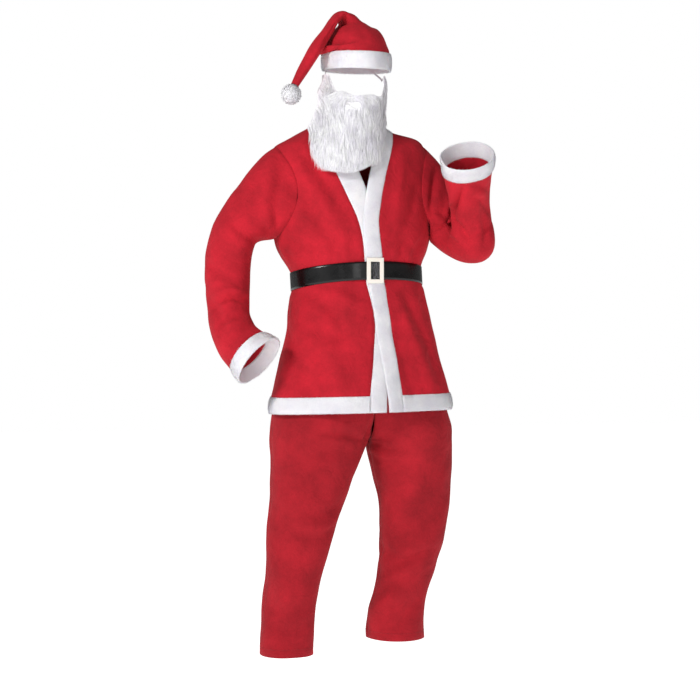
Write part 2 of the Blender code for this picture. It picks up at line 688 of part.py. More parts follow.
def leg_surface(side, table):
    def point(turn, level):
        """Turn 0 is the outer side and a half turn the inner one, by way of the front."""
        across = table.read("half_width", level)
        depth = table.read("front" if math.sin(turn) > 0 else "back", level)
        swell = 1 + leg_folds(turn, level, 1.3 * side) / 0.09
        x = table.read("across", level) + side * across * swell * signed_power(math.cos(turn), 2 / 2.1)
        y = table.read("along", level) - depth * swell * signed_power(math.sin(turn), 2 / 2.1)
        return Vector((x, y, level))
    return point


def inner_turn(side, table, level):
    """Where the ring meets the middle of the body, which is the inner seam below the crotch."""
    if level <= CROTCH + 0.0005:
        return math.pi
    offset = side * (table.read("across", level) - LEG_MIDDLE.read("across", level)) - 0.0004
    share = signed_power(-offset / table.read("half_width", level), 2.1 / 2)
    return math.acos(max(-1.0, min(1.0, share)))


def leg_levels(table):
    top = TROUSER_WAIST - WAISTBAND
    bottom = table.rows[-1][0]
    upper = [top + (CROTCH - top) * (1 - (1 - step / 9) ** 1.25) for step in range(10)]
    lower = [CROTCH + (bottom - CROTCH) * (step / 10) for step in range(1, 11)]
    return upper + lower


def trouser_leg(side, table, name, finish):
    surface = leg_surface(side, table)
    for part, sign in (("front", 1), ("back", -1)):
        rows = []
        for level in leg_levels(table):
            end = inner_turn(side, table, level)
            rows.append(between((0.0, level), (sign * end, level), LEG_COLUMNS))
        wall("trousers_" + part + "_" + name, surface, rows, FELT, finish, sense=-side)


def waistband(finish):
    half = leg_surface(1, LEFT_LEG)

    def ring(turn, level):
        point = half(turn, level)
        middle = LEFT_LEG.read("across", level)
        return point if math.cos(turn) >= 0 else Vector((2 * middle - half(math.pi - turn, level).x, point.y, level))

    turns = [2 * math.pi * column / 36 for column in range(36)]
    levels = [TROUSER_WAIST, TROUSER_WAIST - WAISTBAND / 2, TROUSER_WAIST - WAISTBAND]
    rows = [[(turn, level) for turn in turns] for level in levels]
    wall("trousers_waistband", ring, rows, FELT, finish, closed=True, sense=-1)


# Hat

def hat_surface(turn, part):
    """Folded cone. Part counts the table's rows, and values below 0 run straight down into the band."""
    def centre(at):
        return Vector([HAT.read(name, at) for name in ("across", "along", "level")])

    if part < 0.35:
        along = Vector((0, 0, 1))
    else:
        along = (centre(min(11, part + 0.3)) - centre(max(0, part - 0.3))).normalized()
    ahead = Vector((0, -1, 0))
    ahead = (ahead - ahead.dot(along) * along).normalized()
    out = ahead.cross(along)
    middle = centre(part) + Vector((0, 0, min(0.0, part)))
    wide, deep = HAT.read("half_width", part), HAT.read("half_depth", part)
    point = middle + out * wide * math.cos(turn) + ahead * deep * math.sin(turn)
    return point + Vector((0, 0, HAT_TILT * (point.y - middle.y) * (1 - ease(part / 3))))


def hat(felt, fleece):
    columns = 20
    turns = [2 * math.pi * column / columns for column in range(columns)]
    parts = [0, 0.5, 1, 1.5, 2, 2.5, 3, 3.5, 4, 4.5, 5, 5.5, 6, 6.5, 7, 8, 9, 10, 11]
    wall("hat_crown", hat_surface, [[(turn, part) for turn in turns] for part in parts], FELT, felt,
         closed=True, v_step=0.01)
    top = HAT.rows[0][3]
    levels = [-0.0003, (HAT_BAND[0] - top) / 2, HAT_BAND[0] - top]
    wall("hat_band", hat_surface, [[(turn, level) for turn in turns] for level in levels], FLEECE, fleece,
         lambda u, v: 0.0015, closed=True, v_step=0.001)


def pompom(finish):
    """Ball of fleece tufts, each a low point on a ball."""
    shape = bmesh.new()
    bmesh.ops.create_icosphere(shape, subdivisions=2, radius=1.0)
    tufts = random.Random(5)
    for vert in shape.verts:
        reach = 0.90 + 0.10 * tufts.random()
        vert.co = POMPOM_CENTRE + vert.co * POMPOM_RADIUS * reach
    mesh = bpy.data.meshes.new("hat_pompom")
    shape.to_mesh(mesh)
    shape.free()
    place("hat_pompom", mesh, finish)


# Beard

def beard_surface(angle, level):
    half_width = BEARD.read("half_width", level)
    across = BEARD.read("middle", level) + half_width * math.sin(angle)
    return Vector((across, -0.012 - (BEARD.read("front", level) - 0.012) * math.cos(angle), level))


def beard_angle(across, level):
    share = (across - BEARD.read("middle", level)) / BEARD.read("half_width", level)
    return math.asin(max(-0.995, min(0.995, share)))


def beard_locks(angle, level):
    """Raised locks that run down, and the fuller hair over the lip."""
    locks = LOCK_HEIGHT * math.cos(15 * angle + 9 * math.sin(14 * level)) * ease((0.14 - level) / 0.03)
    point = beard_surface(angle, level)
    lip = 0.010 * math.exp(-((level - 0.072) / 0.016) ** 2) * math.exp(-((point.x + 0.020) / 0.050) ** 2)
    return locks + lip


def beard(finish):
    columns = 26
    bottom_left = (BEARD_LEFT.rows[-1][1], BEARD_LEFT.rows[-1][0])
    bottom_right = (BEARD_RIGHT.rows[-1][1], BEARD_RIGHT.rows[-1][0])
    left, right = [], []
    for down in BEARD_ROWS:
        level = 0.147 + (bottom_left[1] - 0.147) * down
        left.append((BEARD_LEFT.read("across", level), level))
        level = 0.147 + (bottom_right[1] - 0.147) * down
        right.append((BEARD_RIGHT.read("across", level), level))
    top, bottom = [], []
    for column in range(columns + 1):
        over = column / columns
        top.append((FACE_EDGE.read("across", over), FACE_EDGE.read("level", over)))
        bottom.append((bottom_left[0] + (bottom_right[0] - bottom_left[0]) * over,
                       bottom_left[1] + (bottom_right[1] - bottom_left[1]) * over
                       - BEARD_SAG * math.sin(math.pi * over)))
    flat = patch(top, bottom, left, right, BEARD_ROWS)
    tips = []
    for column, (low, above) in enumerate(zip(flat[-1], flat[-2])):
        reach = 0.45 if column % 2 else -0.1
        tips.append((low[0] + (low[0] - above[0]) * reach, low[1] + (low[1] - above[1]) * reach))
    flat[-1] = tips
    rows = [[(beard_angle(x, z), z) for x, z in row] for row in flat]
    skip = set()
    for j in range(columns):
        x = (flat[MOUTH_ROW][j][0] + flat[MOUTH_ROW + 1][j + 1][0]) / 2
        if abs(x - MOUTH_ACROSS) < MOUTH_HALF_WIDTH:
            skip.add((MOUTH_ROW, j))
    wall("beard", beard_surface, rows, BEARD_THICK, finish, skip=skip, raised=beard_locks)


def elastic(finish):
    """Flat elastic, sewn inside the beard's upper corners, round the back of the head inside the hat."""
    start, sweep, steps = math.radians(71), math.radians(214), 36

    def ring(angle, level):
        share = (angle - start) / sweep
        inside = ease((min(share, 1 - share) - 0.05) / 0.09)
        return Vector((0.010 + 0.009 * inside + (0.0871 - 0.0026 * inside) * math.sin(angle),
                       -0.012 - 0.005 * inside - (0.1040 - 0.002 * inside) * math.cos(angle), level))

    rows = []
    for down in (0, 1):
        row = []
        for step in range(steps + 1):
            rise = ease((min(step, steps - step) / steps - 0.05) / 0.3)
            row.append((start + sweep * step / steps, 0.1415 + 0.047 * rise + 0.003 * (1 - 2 * down)))
        rows.append(row)
    wall("beard_elastic", ring, rows, 0.0012, finish)


def build():
    remove_old_objects()
    collection = bpy.data.collections.get("santa_suit") or bpy.data.collections.new("santa_suit")
    if collection.name not in bpy.context.scene.collection.children:
        bpy.context.scene.collection.children.link(collection)
    red = material("red felt", RED, 0.9)
    trouser_red = material("trouser felt", DARK_RED, 0.9)
    white = material("white fleece", WHITE, 0.95)
    fur = material("white fur", FUR, 0.8)
    vinyl = material("black vinyl", BLACK, 0.25)
    plastic = material("white plastic", CREAM, 0.35)
    jacket_back(red)
    jacket_front(-1, RIGHT_FRONT, "jacket_front_right", red)
    jacket_front(1, LEFT_FRONT, "jacket_front_left", red)
    front_band(-1, RIGHT_FRONT, "front_band_right", white)
    front_band(1, LEFT_FRONT, "front_band_left", white)
    hem_bands(white)
    sleeve(-1, "right", HangingArm(RIGHT_ARM), RIGHT_SLEEVE, red, white)
    sleeve(1, "left", RaisedArm(*LEFT_ARM), LEFT_SLEEVE, red, white)
    belt(vinyl)
    buckle(plastic)
    trouser_leg(-1, RIGHT_LEG, "right", trouser_red)
    trouser_leg(1, LEFT_LEG, "left", trouser_red)
    waistband(trouser_red)
    hat(red, white)
    pompom(fur)
    beard(fur)
    elastic(white)


build()
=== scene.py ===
# Santa suit in worn form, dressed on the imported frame: felt, fleece, vinyl, plastic and fur.
# Metres, +Z up. The suit faces -Y, +X is the wearer's left, and the origin is the middle of the shoulders.
import bpy
import bmesh
import math
import numpy as np
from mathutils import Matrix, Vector


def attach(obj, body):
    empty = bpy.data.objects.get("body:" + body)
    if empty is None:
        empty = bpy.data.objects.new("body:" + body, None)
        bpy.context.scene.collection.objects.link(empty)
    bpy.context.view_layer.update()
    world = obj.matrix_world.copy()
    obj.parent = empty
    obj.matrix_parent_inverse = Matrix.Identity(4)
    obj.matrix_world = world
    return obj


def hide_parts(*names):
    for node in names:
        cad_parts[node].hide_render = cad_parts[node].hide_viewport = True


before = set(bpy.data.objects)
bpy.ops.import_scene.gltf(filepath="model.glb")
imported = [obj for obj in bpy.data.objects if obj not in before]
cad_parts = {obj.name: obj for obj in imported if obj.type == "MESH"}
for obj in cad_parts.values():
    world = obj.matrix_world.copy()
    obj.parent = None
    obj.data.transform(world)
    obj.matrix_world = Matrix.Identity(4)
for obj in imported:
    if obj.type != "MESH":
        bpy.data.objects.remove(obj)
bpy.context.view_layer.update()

# Driving dimensions
FELT = 0.002              # red brushed felt
FLEECE = 0.003            # white trim
VINYL = 0.0015            # belt strap
BAND = 0.045              # width of the front bands, hem bands and cuffs
BELT_HEIGHT = 0.050
JACKET_HEM = -0.803
TROUSER_WAIST = -0.424
WAISTBAND = 0.036
BUCKLE_ACROSS = 0.009     # middle of the buckle to the wearer's left of the waist's middle
BUCKLE_SIZE = (0.050, 0.072)
BUCKLE_BAR = 0.0115
BUCKLE_THICK = 0.004
POMPOM_RADIUS = 0.0285
ROUNDNESS = 2.25          # superellipse power of the jacket's and trousers' rings

# Counts of grid steps, about four times finer than the solids'
ARMHOLE_STEPS = 32        # on each half of an armhole
FRONT_COLUMNS = 32
SHOULDER_COLUMNS = 16
NECK_COLUMNS = 32
LEG_COLUMNS = 36
SLEEVE_STEPS = 84
BAND_COLUMNS = 12
BELT_COLUMNS = 224
WAIST_COLUMNS = 144
TAPE_COLUMNS = 108
HAT_COLUMNS = 96
HAT_STEPS = 10            # on each part of the hat
BEARD_COLUMNS = 104
BEARD_STEPS = 3           # between two of the beard's rows


class Table:
    """Rows of named columns. The first column is the key, and the rest are read by a smooth curve."""

    def __init__(self, columns, rows):
        self.columns = columns.split()
        self.rows = rows

    def slope(self, column, row):
        if row in (0, len(self.rows) - 1):
            return 0.0
        before, here, after = self.rows[row - 1], self.rows[row], self.rows[row + 1]
        left = (here[column] - before[column]) / (here[0] - before[0])
        right = (after[column] - here[column]) / (after[0] - here[0])
        if left * right <= 0:
            return 0.0
        return 2 * left * right / (left + right)

    def read(self, name, key):
        column = self.columns.index(name)
        rising = self.rows[-1][0] > self.rows[0][0]
        row = 0
        while row < len(self.rows) - 2 and (key > self.rows[row + 1][0]) == rising:
            row += 1
        start, end = self.rows[row], self.rows[row + 1]
        span = end[0] - start[0]
        f = min(1.0, max(0.0, (key - start[0]) / span))
        leaving, arriving = self.slope(column, row), self.slope(column, row + 1)
        return (start[column] * (1 + 2 * f) * (1 - f) ** 2 + end[column] * f * f * (3 - 2 * f)
                + span * (leaving * f * (1 - f) ** 2 - arriving * f * f * (1 - f)))


# The jacket's rings from the neck to the hem
TORSO = Table("level half_width front back middle", (
    (0.024, 0.074, 0.046, 0.054, 0.000),
    (0.000, 0.117, 0.072, 0.078, 0.001),
    (-0.026, 0.165, 0.090, 0.094, 0.003),
    (-0.058, 0.219, 0.106, 0.105, 0.005),
    (-0.095, 0.234, 0.119, 0.113, 0.007),
    (-0.150, 0.237, 0.131, 0.121, 0.009),
    (-0.230, 0.235, 0.138, 0.125, 0.012),
    (-0.300, 0.230, 0.139, 0.123, 0.016),
    (-0.350, 0.212, 0.139, 0.118, 0.021),
    (-0.386, 0.194, 0.135, 0.111, 0.025),
    (-0.396, 0.190, 0.133, 0.109, 0.026),
    (-0.448, 0.190, 0.133, 0.110, 0.029),
    (-0.460, 0.195, 0.136, 0.114, 0.030),
    (-0.500, 0.202, 0.144, 0.124, 0.033),
    (-0.580, 0.215, 0.150, 0.136, 0.036),
    (-0.690, 0.241, 0.160, 0.152, 0.038),
    (JACKET_HEM, 0.263, 0.170, 0.172, 0.040)))
NECK_LEVEL = 0.000        # the red cloth's neckline, where the bands begin
NECK_TOP = 0.024          # the bands' free edge at the neck
SHOULDER_TIP = -0.058
RAISED_SHOULDER = 0.018   # how far the raised arm lifts the left shoulder's tip
ARMPIT = -0.304
WAIST = -0.422            # middle of the belt, before its tilt
# Rows of the body's panels from the armpit to the hem band, with one at each edge of the belt
BODY_LEVELS = (ARMPIT, -0.345, -0.380, -0.396, -0.448, -0.462, -0.505, -0.565, -0.630, -0.695,
               JACKET_HEM + BAND)

# Sewn and free edges of the two fronts, as distances to the wearer's left of the ring's middle
RIGHT_FRONT = Table("level sewn free", (
    (0.000, -0.117, -0.074),
    (-0.030, -0.112, -0.066),
    (-0.086, -0.100, -0.036),
    (-0.144, -0.077, -0.011),
    (-0.198, -0.054, 0.006),
    (-0.265, -0.028, 0.018),
    (-0.337, -0.0175, 0.0275),
    (-0.450, -0.0165, 0.0285),
    (-0.567, -0.002, 0.043),
    (-0.650, -0.011, 0.034),
    (JACKET_HEM, -0.030, 0.018)))
LEFT_FRONT = Table("level sewn free", (
    (0.000, 0.119, 0.076),
    (-0.030, 0.108, 0.062),
    (-0.086, 0.085, 0.037),
    (-0.144, 0.062, 0.014),
    (-0.215, 0.043, -0.003),
    (-0.290, 0.032, -0.013),
    (-0.400, 0.033, -0.012),
    (-0.567, 0.043, -0.002),
    (-0.650, 0.055, 0.010),
    (JACKET_HEM, 0.070, 0.025)))
OVERLAP_LIFT = 0.0036     # how far the left front stands off the right one

# Trouser legs: middle of each ring, half its width, and its depth before and behind the middle
RIGHT_LEG = Table("level across along half_width front back", (
    (-0.420, 0.028, 0.000, 0.1840, 0.1265, 0.1030),
    (-0.465, 0.030, 0.000, 0.1850, 0.1280, 0.1030),
    (-0.500, 0.030, 0.000, 0.1880, 0.1320, 0.1090),
    (-0.560, 0.028, 0.000, 0.190, 0.134, 0.122),
    (-0.680, 0.008, 0.000, 0.198, 0.138, 0.136),
    (-0.800, -0.048, 0.000, 0.168, 0.134, 0.140),
    (-0.850, -0.072, 0.000, 0.150, 0.130, 0.136),
    (-0.889, -0.084, 0.000, 0.1407, 0.124, 0.130),
    (-0.940, -0.095, -0.002, 0.129, 0.118, 0.122),
    (-1.000, -0.110, -0.004, 0.116, 0.110, 0.112),
    (-1.110, -0.1315, -0.008, 0.100, 0.100, 0.098),
    (-1.205, -0.1535, -0.010, 0.0855, 0.092, 0.088),
    (-1.312, -0.1680, -0.004, 0.0765, 0.086, 0.084),
    (-1.400, -0.1750, 0.000, 0.0750, 0.084, 0.084),
    (-1.488, -0.1815, 0.004, 0.0755, 0.086, 0.086)))
LEFT_LEG = Table("level across along half_width front back", (
    (-0.420, 0.028, 0.000, 0.1840, 0.1265, 0.1030),
    (-0.465, 0.030, 0.000, 0.1850, 0.1280, 0.1030),
    (-0.500, 0.030, 0.000, 0.1880, 0.1320, 0.1090),
    (-0.560, 0.044, 0.000, 0.190, 0.134, 0.122),
    (-0.680, 0.070, 0.000, 0.198, 0.138, 0.136),
    (-0.800, 0.135, 0.000, 0.161, 0.134, 0.140),
    (-0.850, 0.167, 0.000, 0.143, 0.130, 0.136),
    (-0.889, 0.1845, 0.000, 0.1265, 0.124, 0.130),
    (-0.930, 0.1905, 0.002, 0.1215, 0.118, 0.122),
    (-0.969, 0.1960, 0.004, 0.1170, 0.112, 0.116),
    (-1.079, 0.2050, 0.006, 0.1020, 0.100, 0.102),
    (-1.1745, 0.2030, 0.010, 0.0950, 0.092, 0.094),
    (-1.246, 0.1890, 0.018, 0.0845, 0.088, 0.088),
    (-1.329, 0.1715, 0.032, 0.0765, 0.084, 0.084),
    (-1.387, 0.1665, 0.044, 0.0800, 0.085, 0.085),
    (-1.467, 0.1675, 0.058, 0.0840, 0.087, 0.087)))
LEG_MIDDLE = Table("level across", (
    (-0.420, 0.028), (-0.560, 0.036), (-0.680, 0.039), (-0.800, 0.045), (-0.850, 0.052), (-0.889, 0.0573)))
CROTCH = -0.889

# Sleeves: the lowered arm's line, then the raised arm's shoulder, elbow and wrist with the radius of its bend
RIGHT_ARM = Table("part x y z", (
    (0.00, -0.2260, 0.000, -0.180),
    (0.14, -0.2850, 0.010, -0.245),
    (0.27, -0.3260, 0.020, -0.313),
    (0.40, -0.3440, 0.025, -0.382),
    (0.54, -0.3475, 0.018, -0.458),
    (0.68, -0.3480, 0.000, -0.530),
    (0.80, -0.3380, -0.030, -0.586),
    (0.90, -0.3150, -0.060, -0.628),
    (1.00, -0.2830, -0.088, -0.660)))
LEFT_ARM = (Vector((0.243, 0.000, -0.180)), Vector((0.347, -0.100, -0.360)),
            Vector((0.2560, -0.280, -0.096)), 0.056)
RIGHT_SLEEVE = Table("part outer inner across", (
    (0.00, 0.080, 0.076, 0.082),
    (0.27, 0.068, 0.061, 0.078),
    (0.40, 0.065, 0.065, 0.074),
    (0.54, 0.062, 0.062, 0.070),
    (0.68, 0.058, 0.058, 0.067),
    (0.80, 0.061, 0.062, 0.068),
    (0.90, 0.068, 0.068, 0.071),
    (1.00, 0.078, 0.077, 0.077)))
LEFT_SLEEVE = Table("part outer inner across", (
    (0.00, 0.080, 0.080, 0.085),
    (0.22, 0.066, 0.072, 0.080),
    (0.34, 0.060, 0.058, 0.072),
    (0.45, 0.086, 0.050, 0.066),
    (0.55, 0.055, 0.048, 0.060),
    (0.66, 0.052, 0.052, 0.058),
    (0.82, 0.062, 0.062, 0.064),
    (0.92, 0.068, 0.068, 0.071),
    (1.00, 0.074, 0.074, 0.076)))
SLEEVE_HEAD = 0.26        # part of the sleeve that turns from the armhole's shape into a round section
ARMHOLE_LAP = 0.0004      # how far a sleeve's edge runs past the panels', so that no gap shows
SHOULDER_FULLNESS = 0.068 # how far the sleeve's top runs on along the shoulder's slope
UNDERARM_FULLNESS = {-1: 0.0, 1: 0.004}     # the same for its underside, which drops from the armpit

# Hat: middle of each ring along the folded cone, with its half width and half depth
HAT = Table("part across along level half_width half_depth", (
    (0, 0.0220, -0.020, 0.2145, 0.0940, 0.113),
    (1, 0.0205, -0.020, 0.2400, 0.0810, 0.104),
    (2, 0.0100, -0.020, 0.2660, 0.0590, 0.086),
    (3, 0.0025, -0.020, 0.2880, 0.0390, 0.062),
    (4, -0.0065, -0.022, 0.3075, 0.0240, 0.045),
    (5, -0.0300, -0.028, 0.3180, 0.0122, 0.040),
    (6, -0.0505, -0.034, 0.3015, 0.0118, 0.038),
    (7, -0.0735, -0.041, 0.2670, 0.0145, 0.036),
    (8, -0.1040, -0.049, 0.2240, 0.0180, 0.032),
    (9, -0.1310, -0.055, 0.1820, 0.0165, 0.027),
    (10, -0.1560, -0.058, 0.1410, 0.0140, 0.022),
    (11, -0.1740, -0.060, 0.1100, 0.0110, 0.014)))
HAT_TILT = 0.085          # how far the band drops towards the brow, for each metre forward
HAT_BAND = (0.1665, 0.2140)
HAT_FULLNESS = 0.44       # share by which the lower side is wider, where the folded tail rests on it
POMPOM_CENTRE = Vector((-0.1838, -0.060, 0.0849))

# Beard: rings about the head's axis
BEARD = Table("level middle half_width front", (
    (0.150, 0.010, 0.097, 0.126),
    (0.115, 0.006, 0.101, 0.138),
    (0.075, -0.004, 0.106, 0.152),
    (0.040, -0.010, 0.112, 0.156),
    (0.000, -0.020, 0.126, 0.156),
    (-0.050, -0.032, 0.150, 0.158),
    (-0.140, -0.036, 0.160, 0.162)))
BEARD_THICK = 0.009
LOCK_HEIGHT = 0.0045
BEARD_TOP = 0.147
BEARD_LEFT = Table("level across", (
    (BEARD_TOP, 0.104), (0.090, 0.105), (0.050, 0.100), (0.002, 0.085), (-0.046, 0.065), (-0.085, 0.045),
    (-0.112, 0.018)))
BEARD_RIGHT = Table("level across", (
    (BEARD_TOP, -0.086), (0.090, -0.102), (0.057, -0.109), (0.020, -0.126), (-0.016, -0.142), (-0.060, -0.139),
    (-0.100, -0.123), (-0.130, -0.096)))
# The face opening from the wearer's left temple to the right one
FACE_EDGE = Table("part across level", (
    (0.00, 0.104, BEARD_TOP), (0.05, 0.092, BEARD_TOP), (0.15, 0.084, 0.110), (0.27, 0.060, 0.080),
    (0.42, 0.012, 0.080), (0.52, -0.019, 0.073), (0.62, -0.048, 0.088), (0.77, -0.069, 0.094),
    (0.87, -0.074, 0.114),
    (0.95, -0.079, BEARD_TOP), (1.00, -0.086, BEARD_TOP)))
# Rows of the beard from the face opening down, with the mouth opening between two of them
BEARD_ROWS = (0.0, 0.06, 0.12, 0.178, 0.26, 0.35, 0.44, 0.53, 0.62, 0.71, 0.80, 0.90, 1.0)
BEARD_SAG = 0.012
MOUTH_ROW = 2
MOUTH_ACROSS = -0.033
MOUTH_HALF_WIDTH = 0.020

# The view: the suit is seen from its right, at the height of its hips
VIEW_TURN = math.radians(-18)
VIEW_RIGHT = np.array((math.cos(VIEW_TURN), math.sin(VIEW_TURN), 0.0))
VIEW_BACK = np.array((math.sin(VIEW_TURN), -math.cos(VIEW_TURN), 0.0))
VIEW_DISTANCE = 5.0
VIEW_HEIGHT = -0.63
FLOOR = -1.56


# Forms: the solids', apart from the armholes' lap and the hat's fuller lower side

def ease(value):
    value = min(1.0, max(0.0, value))
    return value * value * (3 - 2 * value)


def signed_power(value, power):
    return math.copysign(abs(value) ** power, value)


def normal_at(surface, u, v, u_step=0.01, v_step=0.002):
    along_u = surface(u + u_step, v) - surface(u - u_step, v)
    along_v = surface(u, v + v_step) - surface(u, v - v_step)
    return along_u.cross(along_v).normalized()


def belt_tilt(angle):
    """How far the waist lies above its middle level at each angle round the body."""
    return 0.007 * math.sin(angle) + 0.0135 * math.cos(angle) - 0.006 * math.sin(angle) ** 2


def torso_folds(angle, level):
    """Soft folds: gathers above and below the belt, and broad flares towards the hem."""
    gathers = 0.0016 * math.cos(17 * angle + 0.6) * (math.exp(-((level + 0.505) / 0.035) ** 2)
                                                     + 0.7 * math.exp(-((level + 0.345) / 0.03) ** 2))
    flares = 0.0042 * (1 + math.cos(6 * angle + 1.0)) * ease((-0.50 - level) / 0.25)
    return gathers + flares


def torso(angle, level):
    """Point on the jacket. Angle 0 is the centre front and a quarter turn is the wearer's left side.
    The level is that of the untilted ring: the waist and hem tilt with the belt and the stance."""
    half_width = TORSO.read("half_width", level)
    depth = TORSO.read("front" if math.cos(angle) > 0 else "back", level)
    swell = 1 + torso_folds(angle, level) / 0.15
    across = TORSO.read("middle", level) + half_width * swell * signed_power(math.sin(angle), 2 / ROUNDNESS)
    along = -depth * swell * signed_power(math.cos(angle), 2 / ROUNDNESS)
    waist_rise = belt_tilt(angle) * ease((level + 0.66) / 0.12) * ease((-0.22 - level) / 0.12)
    hem_rise = 0.006 * math.sin(angle) * ease((-0.55 - level) / 0.2)
    near_tip = ease(-level / 0.05) * ease((level + 0.20) / 0.12)
    shoulder_rise = RAISED_SHOULDER * near_tip * ease((math.sin(angle) - 0.2) / 0.8)
    return Vector((across, along, level + waist_rise + hem_rise + shoulder_rise))


def front_angle(across, level):
    """Angle of the point on the front that lies this far to the wearer's left of the ring's middle."""
    share = across / TORSO.read("half_width", level)
    return math.asin(min(1.0, max(-1.0, signed_power(share, ROUNDNESS / 2))))


def armhole(side, turn):
    """Armhole edge in the torso's angle and level. Turn 0 is the shoulder tip, a half turn is the armpit,
    and the quarter between them is in front."""
    opening = math.radians(41 if math.sin(turn) > 0 else 37)
    level = (SHOULDER_TIP + ARMPIT) / 2 + (SHOULDER_TIP - ARMPIT) / 2 * math.cos(turn)
    from_front = math.pi / 2 - opening * math.sin(turn)
    return side * from_front, level


def edge_levels():
    """Levels of the front edge's points, close together over the shoulder."""
    upper = [NECK_LEVEL + (ARMPIT - NECK_LEVEL) * (step / ARMHOLE_STEPS) ** 1.5
             for step in range(ARMHOLE_STEPS)]
    return upper + list(BODY_LEVELS)


def sewn_edge(table, level):
    return front_angle(table.read("sewn", level), level), level


def free_edge(table, level):
    rise = (NECK_TOP - NECK_LEVEL) * (1 - ease(-level / 0.05))
    return front_angle(table.read("free", level), level + rise), level + rise


def side_edge(side, behind):
    """Armhole, then side seam, from the shoulder tip to the hem."""
    points = []
    for step in range(ARMHOLE_STEPS + 1):
        turn = math.pi * step / ARMHOLE_STEPS
        points.append(armhole(side, -turn if behind else turn))
    return points + [(side * math.pi / 2, level) for level in BODY_LEVELS[1:]]


def patch(top, bottom, left, right, downs=None):
    """Rows of (u, v) that fill the space between four edges. The top edge's shape fades out as downs,
    one share for each row, goes from 0 to 1."""
    rows = []
    downs = downs or [i / (len(left) - 1) for i in range(len(left))]
    for start, end, down in zip(left, right, downs):
        row = []
        for j, (high, low) in enumerate(zip(top, bottom)):
            over = j / (len(top) - 1)
            point = []
            for axis in (0, 1):
                straight_top = (1 - over) * top[0][axis] + over * top[-1][axis]
                straight_bottom = (1 - over) * bottom[0][axis] + over * bottom[-1][axis]
                point.append((1 - over) * start[axis] + over * end[axis]
                             + (1 - down) * (high[axis] - straight_top) + down * (low[axis] - straight_bottom))
            row.append(tuple(point))
        rows.append(row)
    return rows


def between(start, end, steps):
    return [tuple(a + (b - a) * step / steps for a, b in zip(start, end)) for step in range(steps + 1)]


def left_lift(angle, level):
    """The left front stands off the right one near the centre, from the crossing of the bands to the hem."""
    across = torso(angle, level).x - TORSO.read("middle", level) - LEFT_FRONT.read("sewn", level)
    return OVERLAP_LIFT * (1 - ease(across / 0.045)) * ease((-0.09 - level) / 0.06)


def back_top():
    """Shoulder seam, back neck and other shoulder seam, from the wearer's left to the right."""
    quarter = math.pi / 2
    left = between((quarter, SHOULDER_TIP), (quarter, NECK_LEVEL), SHOULDER_COLUMNS)
    neck = between((quarter, NECK_LEVEL), (3 * quarter, NECK_LEVEL), NECK_COLUMNS)
    right = between((3 * quarter, NECK_LEVEL), (3 * quarter, SHOULDER_TIP), SHOULDER_COLUMNS)
    return left + neck[1:] + right[1:]


class HangingArm:
    """Line of a lowered arm, read from its table. Its outward axis points away from the body."""

    def __init__(self, table):
        self.table = table
        centres = [self.centre(step / 40) for step in range(41)]
        self.length = sum((b - a).length for a, b in zip(centres, centres[1:]))

    def centre(self, part):
        return Vector([self.table.read(name, part) for name in "xyz"])

    def section(self, part):
        """Centre, direction, outward axis and cross axis at a part of the whole length."""
        near = min(0.93, part)
        along = (self.centre(near + 0.05) - self.centre(max(0.0, near - 0.05))).normalized()
        cross = Vector((0, -1, 0))
        cross = (cross - cross.dot(along) * along).normalized()
        return self.centre(part), along, along.cross(cross), cross


class RaisedArm:
    """Line of a raised arm: straight, then an arc about the elbow's hinge, then straight."""

    def __init__(self, shoulder, elbow, wrist, radius):
        self.shoulder = shoulder
        self.radius = radius
        self.upper = (elbow - shoulder).normalized()
        self.fore = (wrist - elbow).normalized()
        self.turn = self.upper.angle(self.fore)
        cut = radius * math.tan(self.turn / 2)
        self.first = (elbow - shoulder).length - cut
        self.arc = radius * self.turn
        self.last = (wrist - elbow).length - cut
        self.length = self.first + self.arc + self.last
        self.to_hinge = (self.fore - self.fore.dot(self.upper) * self.upper).normalized()
        self.cross = self.upper.cross(self.to_hinge).normalized()

    def section(self, part):
        """Centre, direction, outward axis and cross axis at a part of the whole length."""
        run = part * self.length
        start = self.shoulder + self.upper * min(run, self.first)
        if run <= self.first:
            return start, self.upper, -self.to_hinge, self.cross
        bend = min(run - self.first, self.arc) / self.radius
        hinge = start + self.to_hinge * self.radius
        outward = -self.to_hinge * math.cos(bend) + self.upper * math.sin(bend)
        along = self.upper * math.cos(bend) + self.to_hinge * math.sin(bend)
        centre = hinge + outward * self.radius
        return centre + along * max(0.0, run - self.first - self.arc), along, outward, self.cross


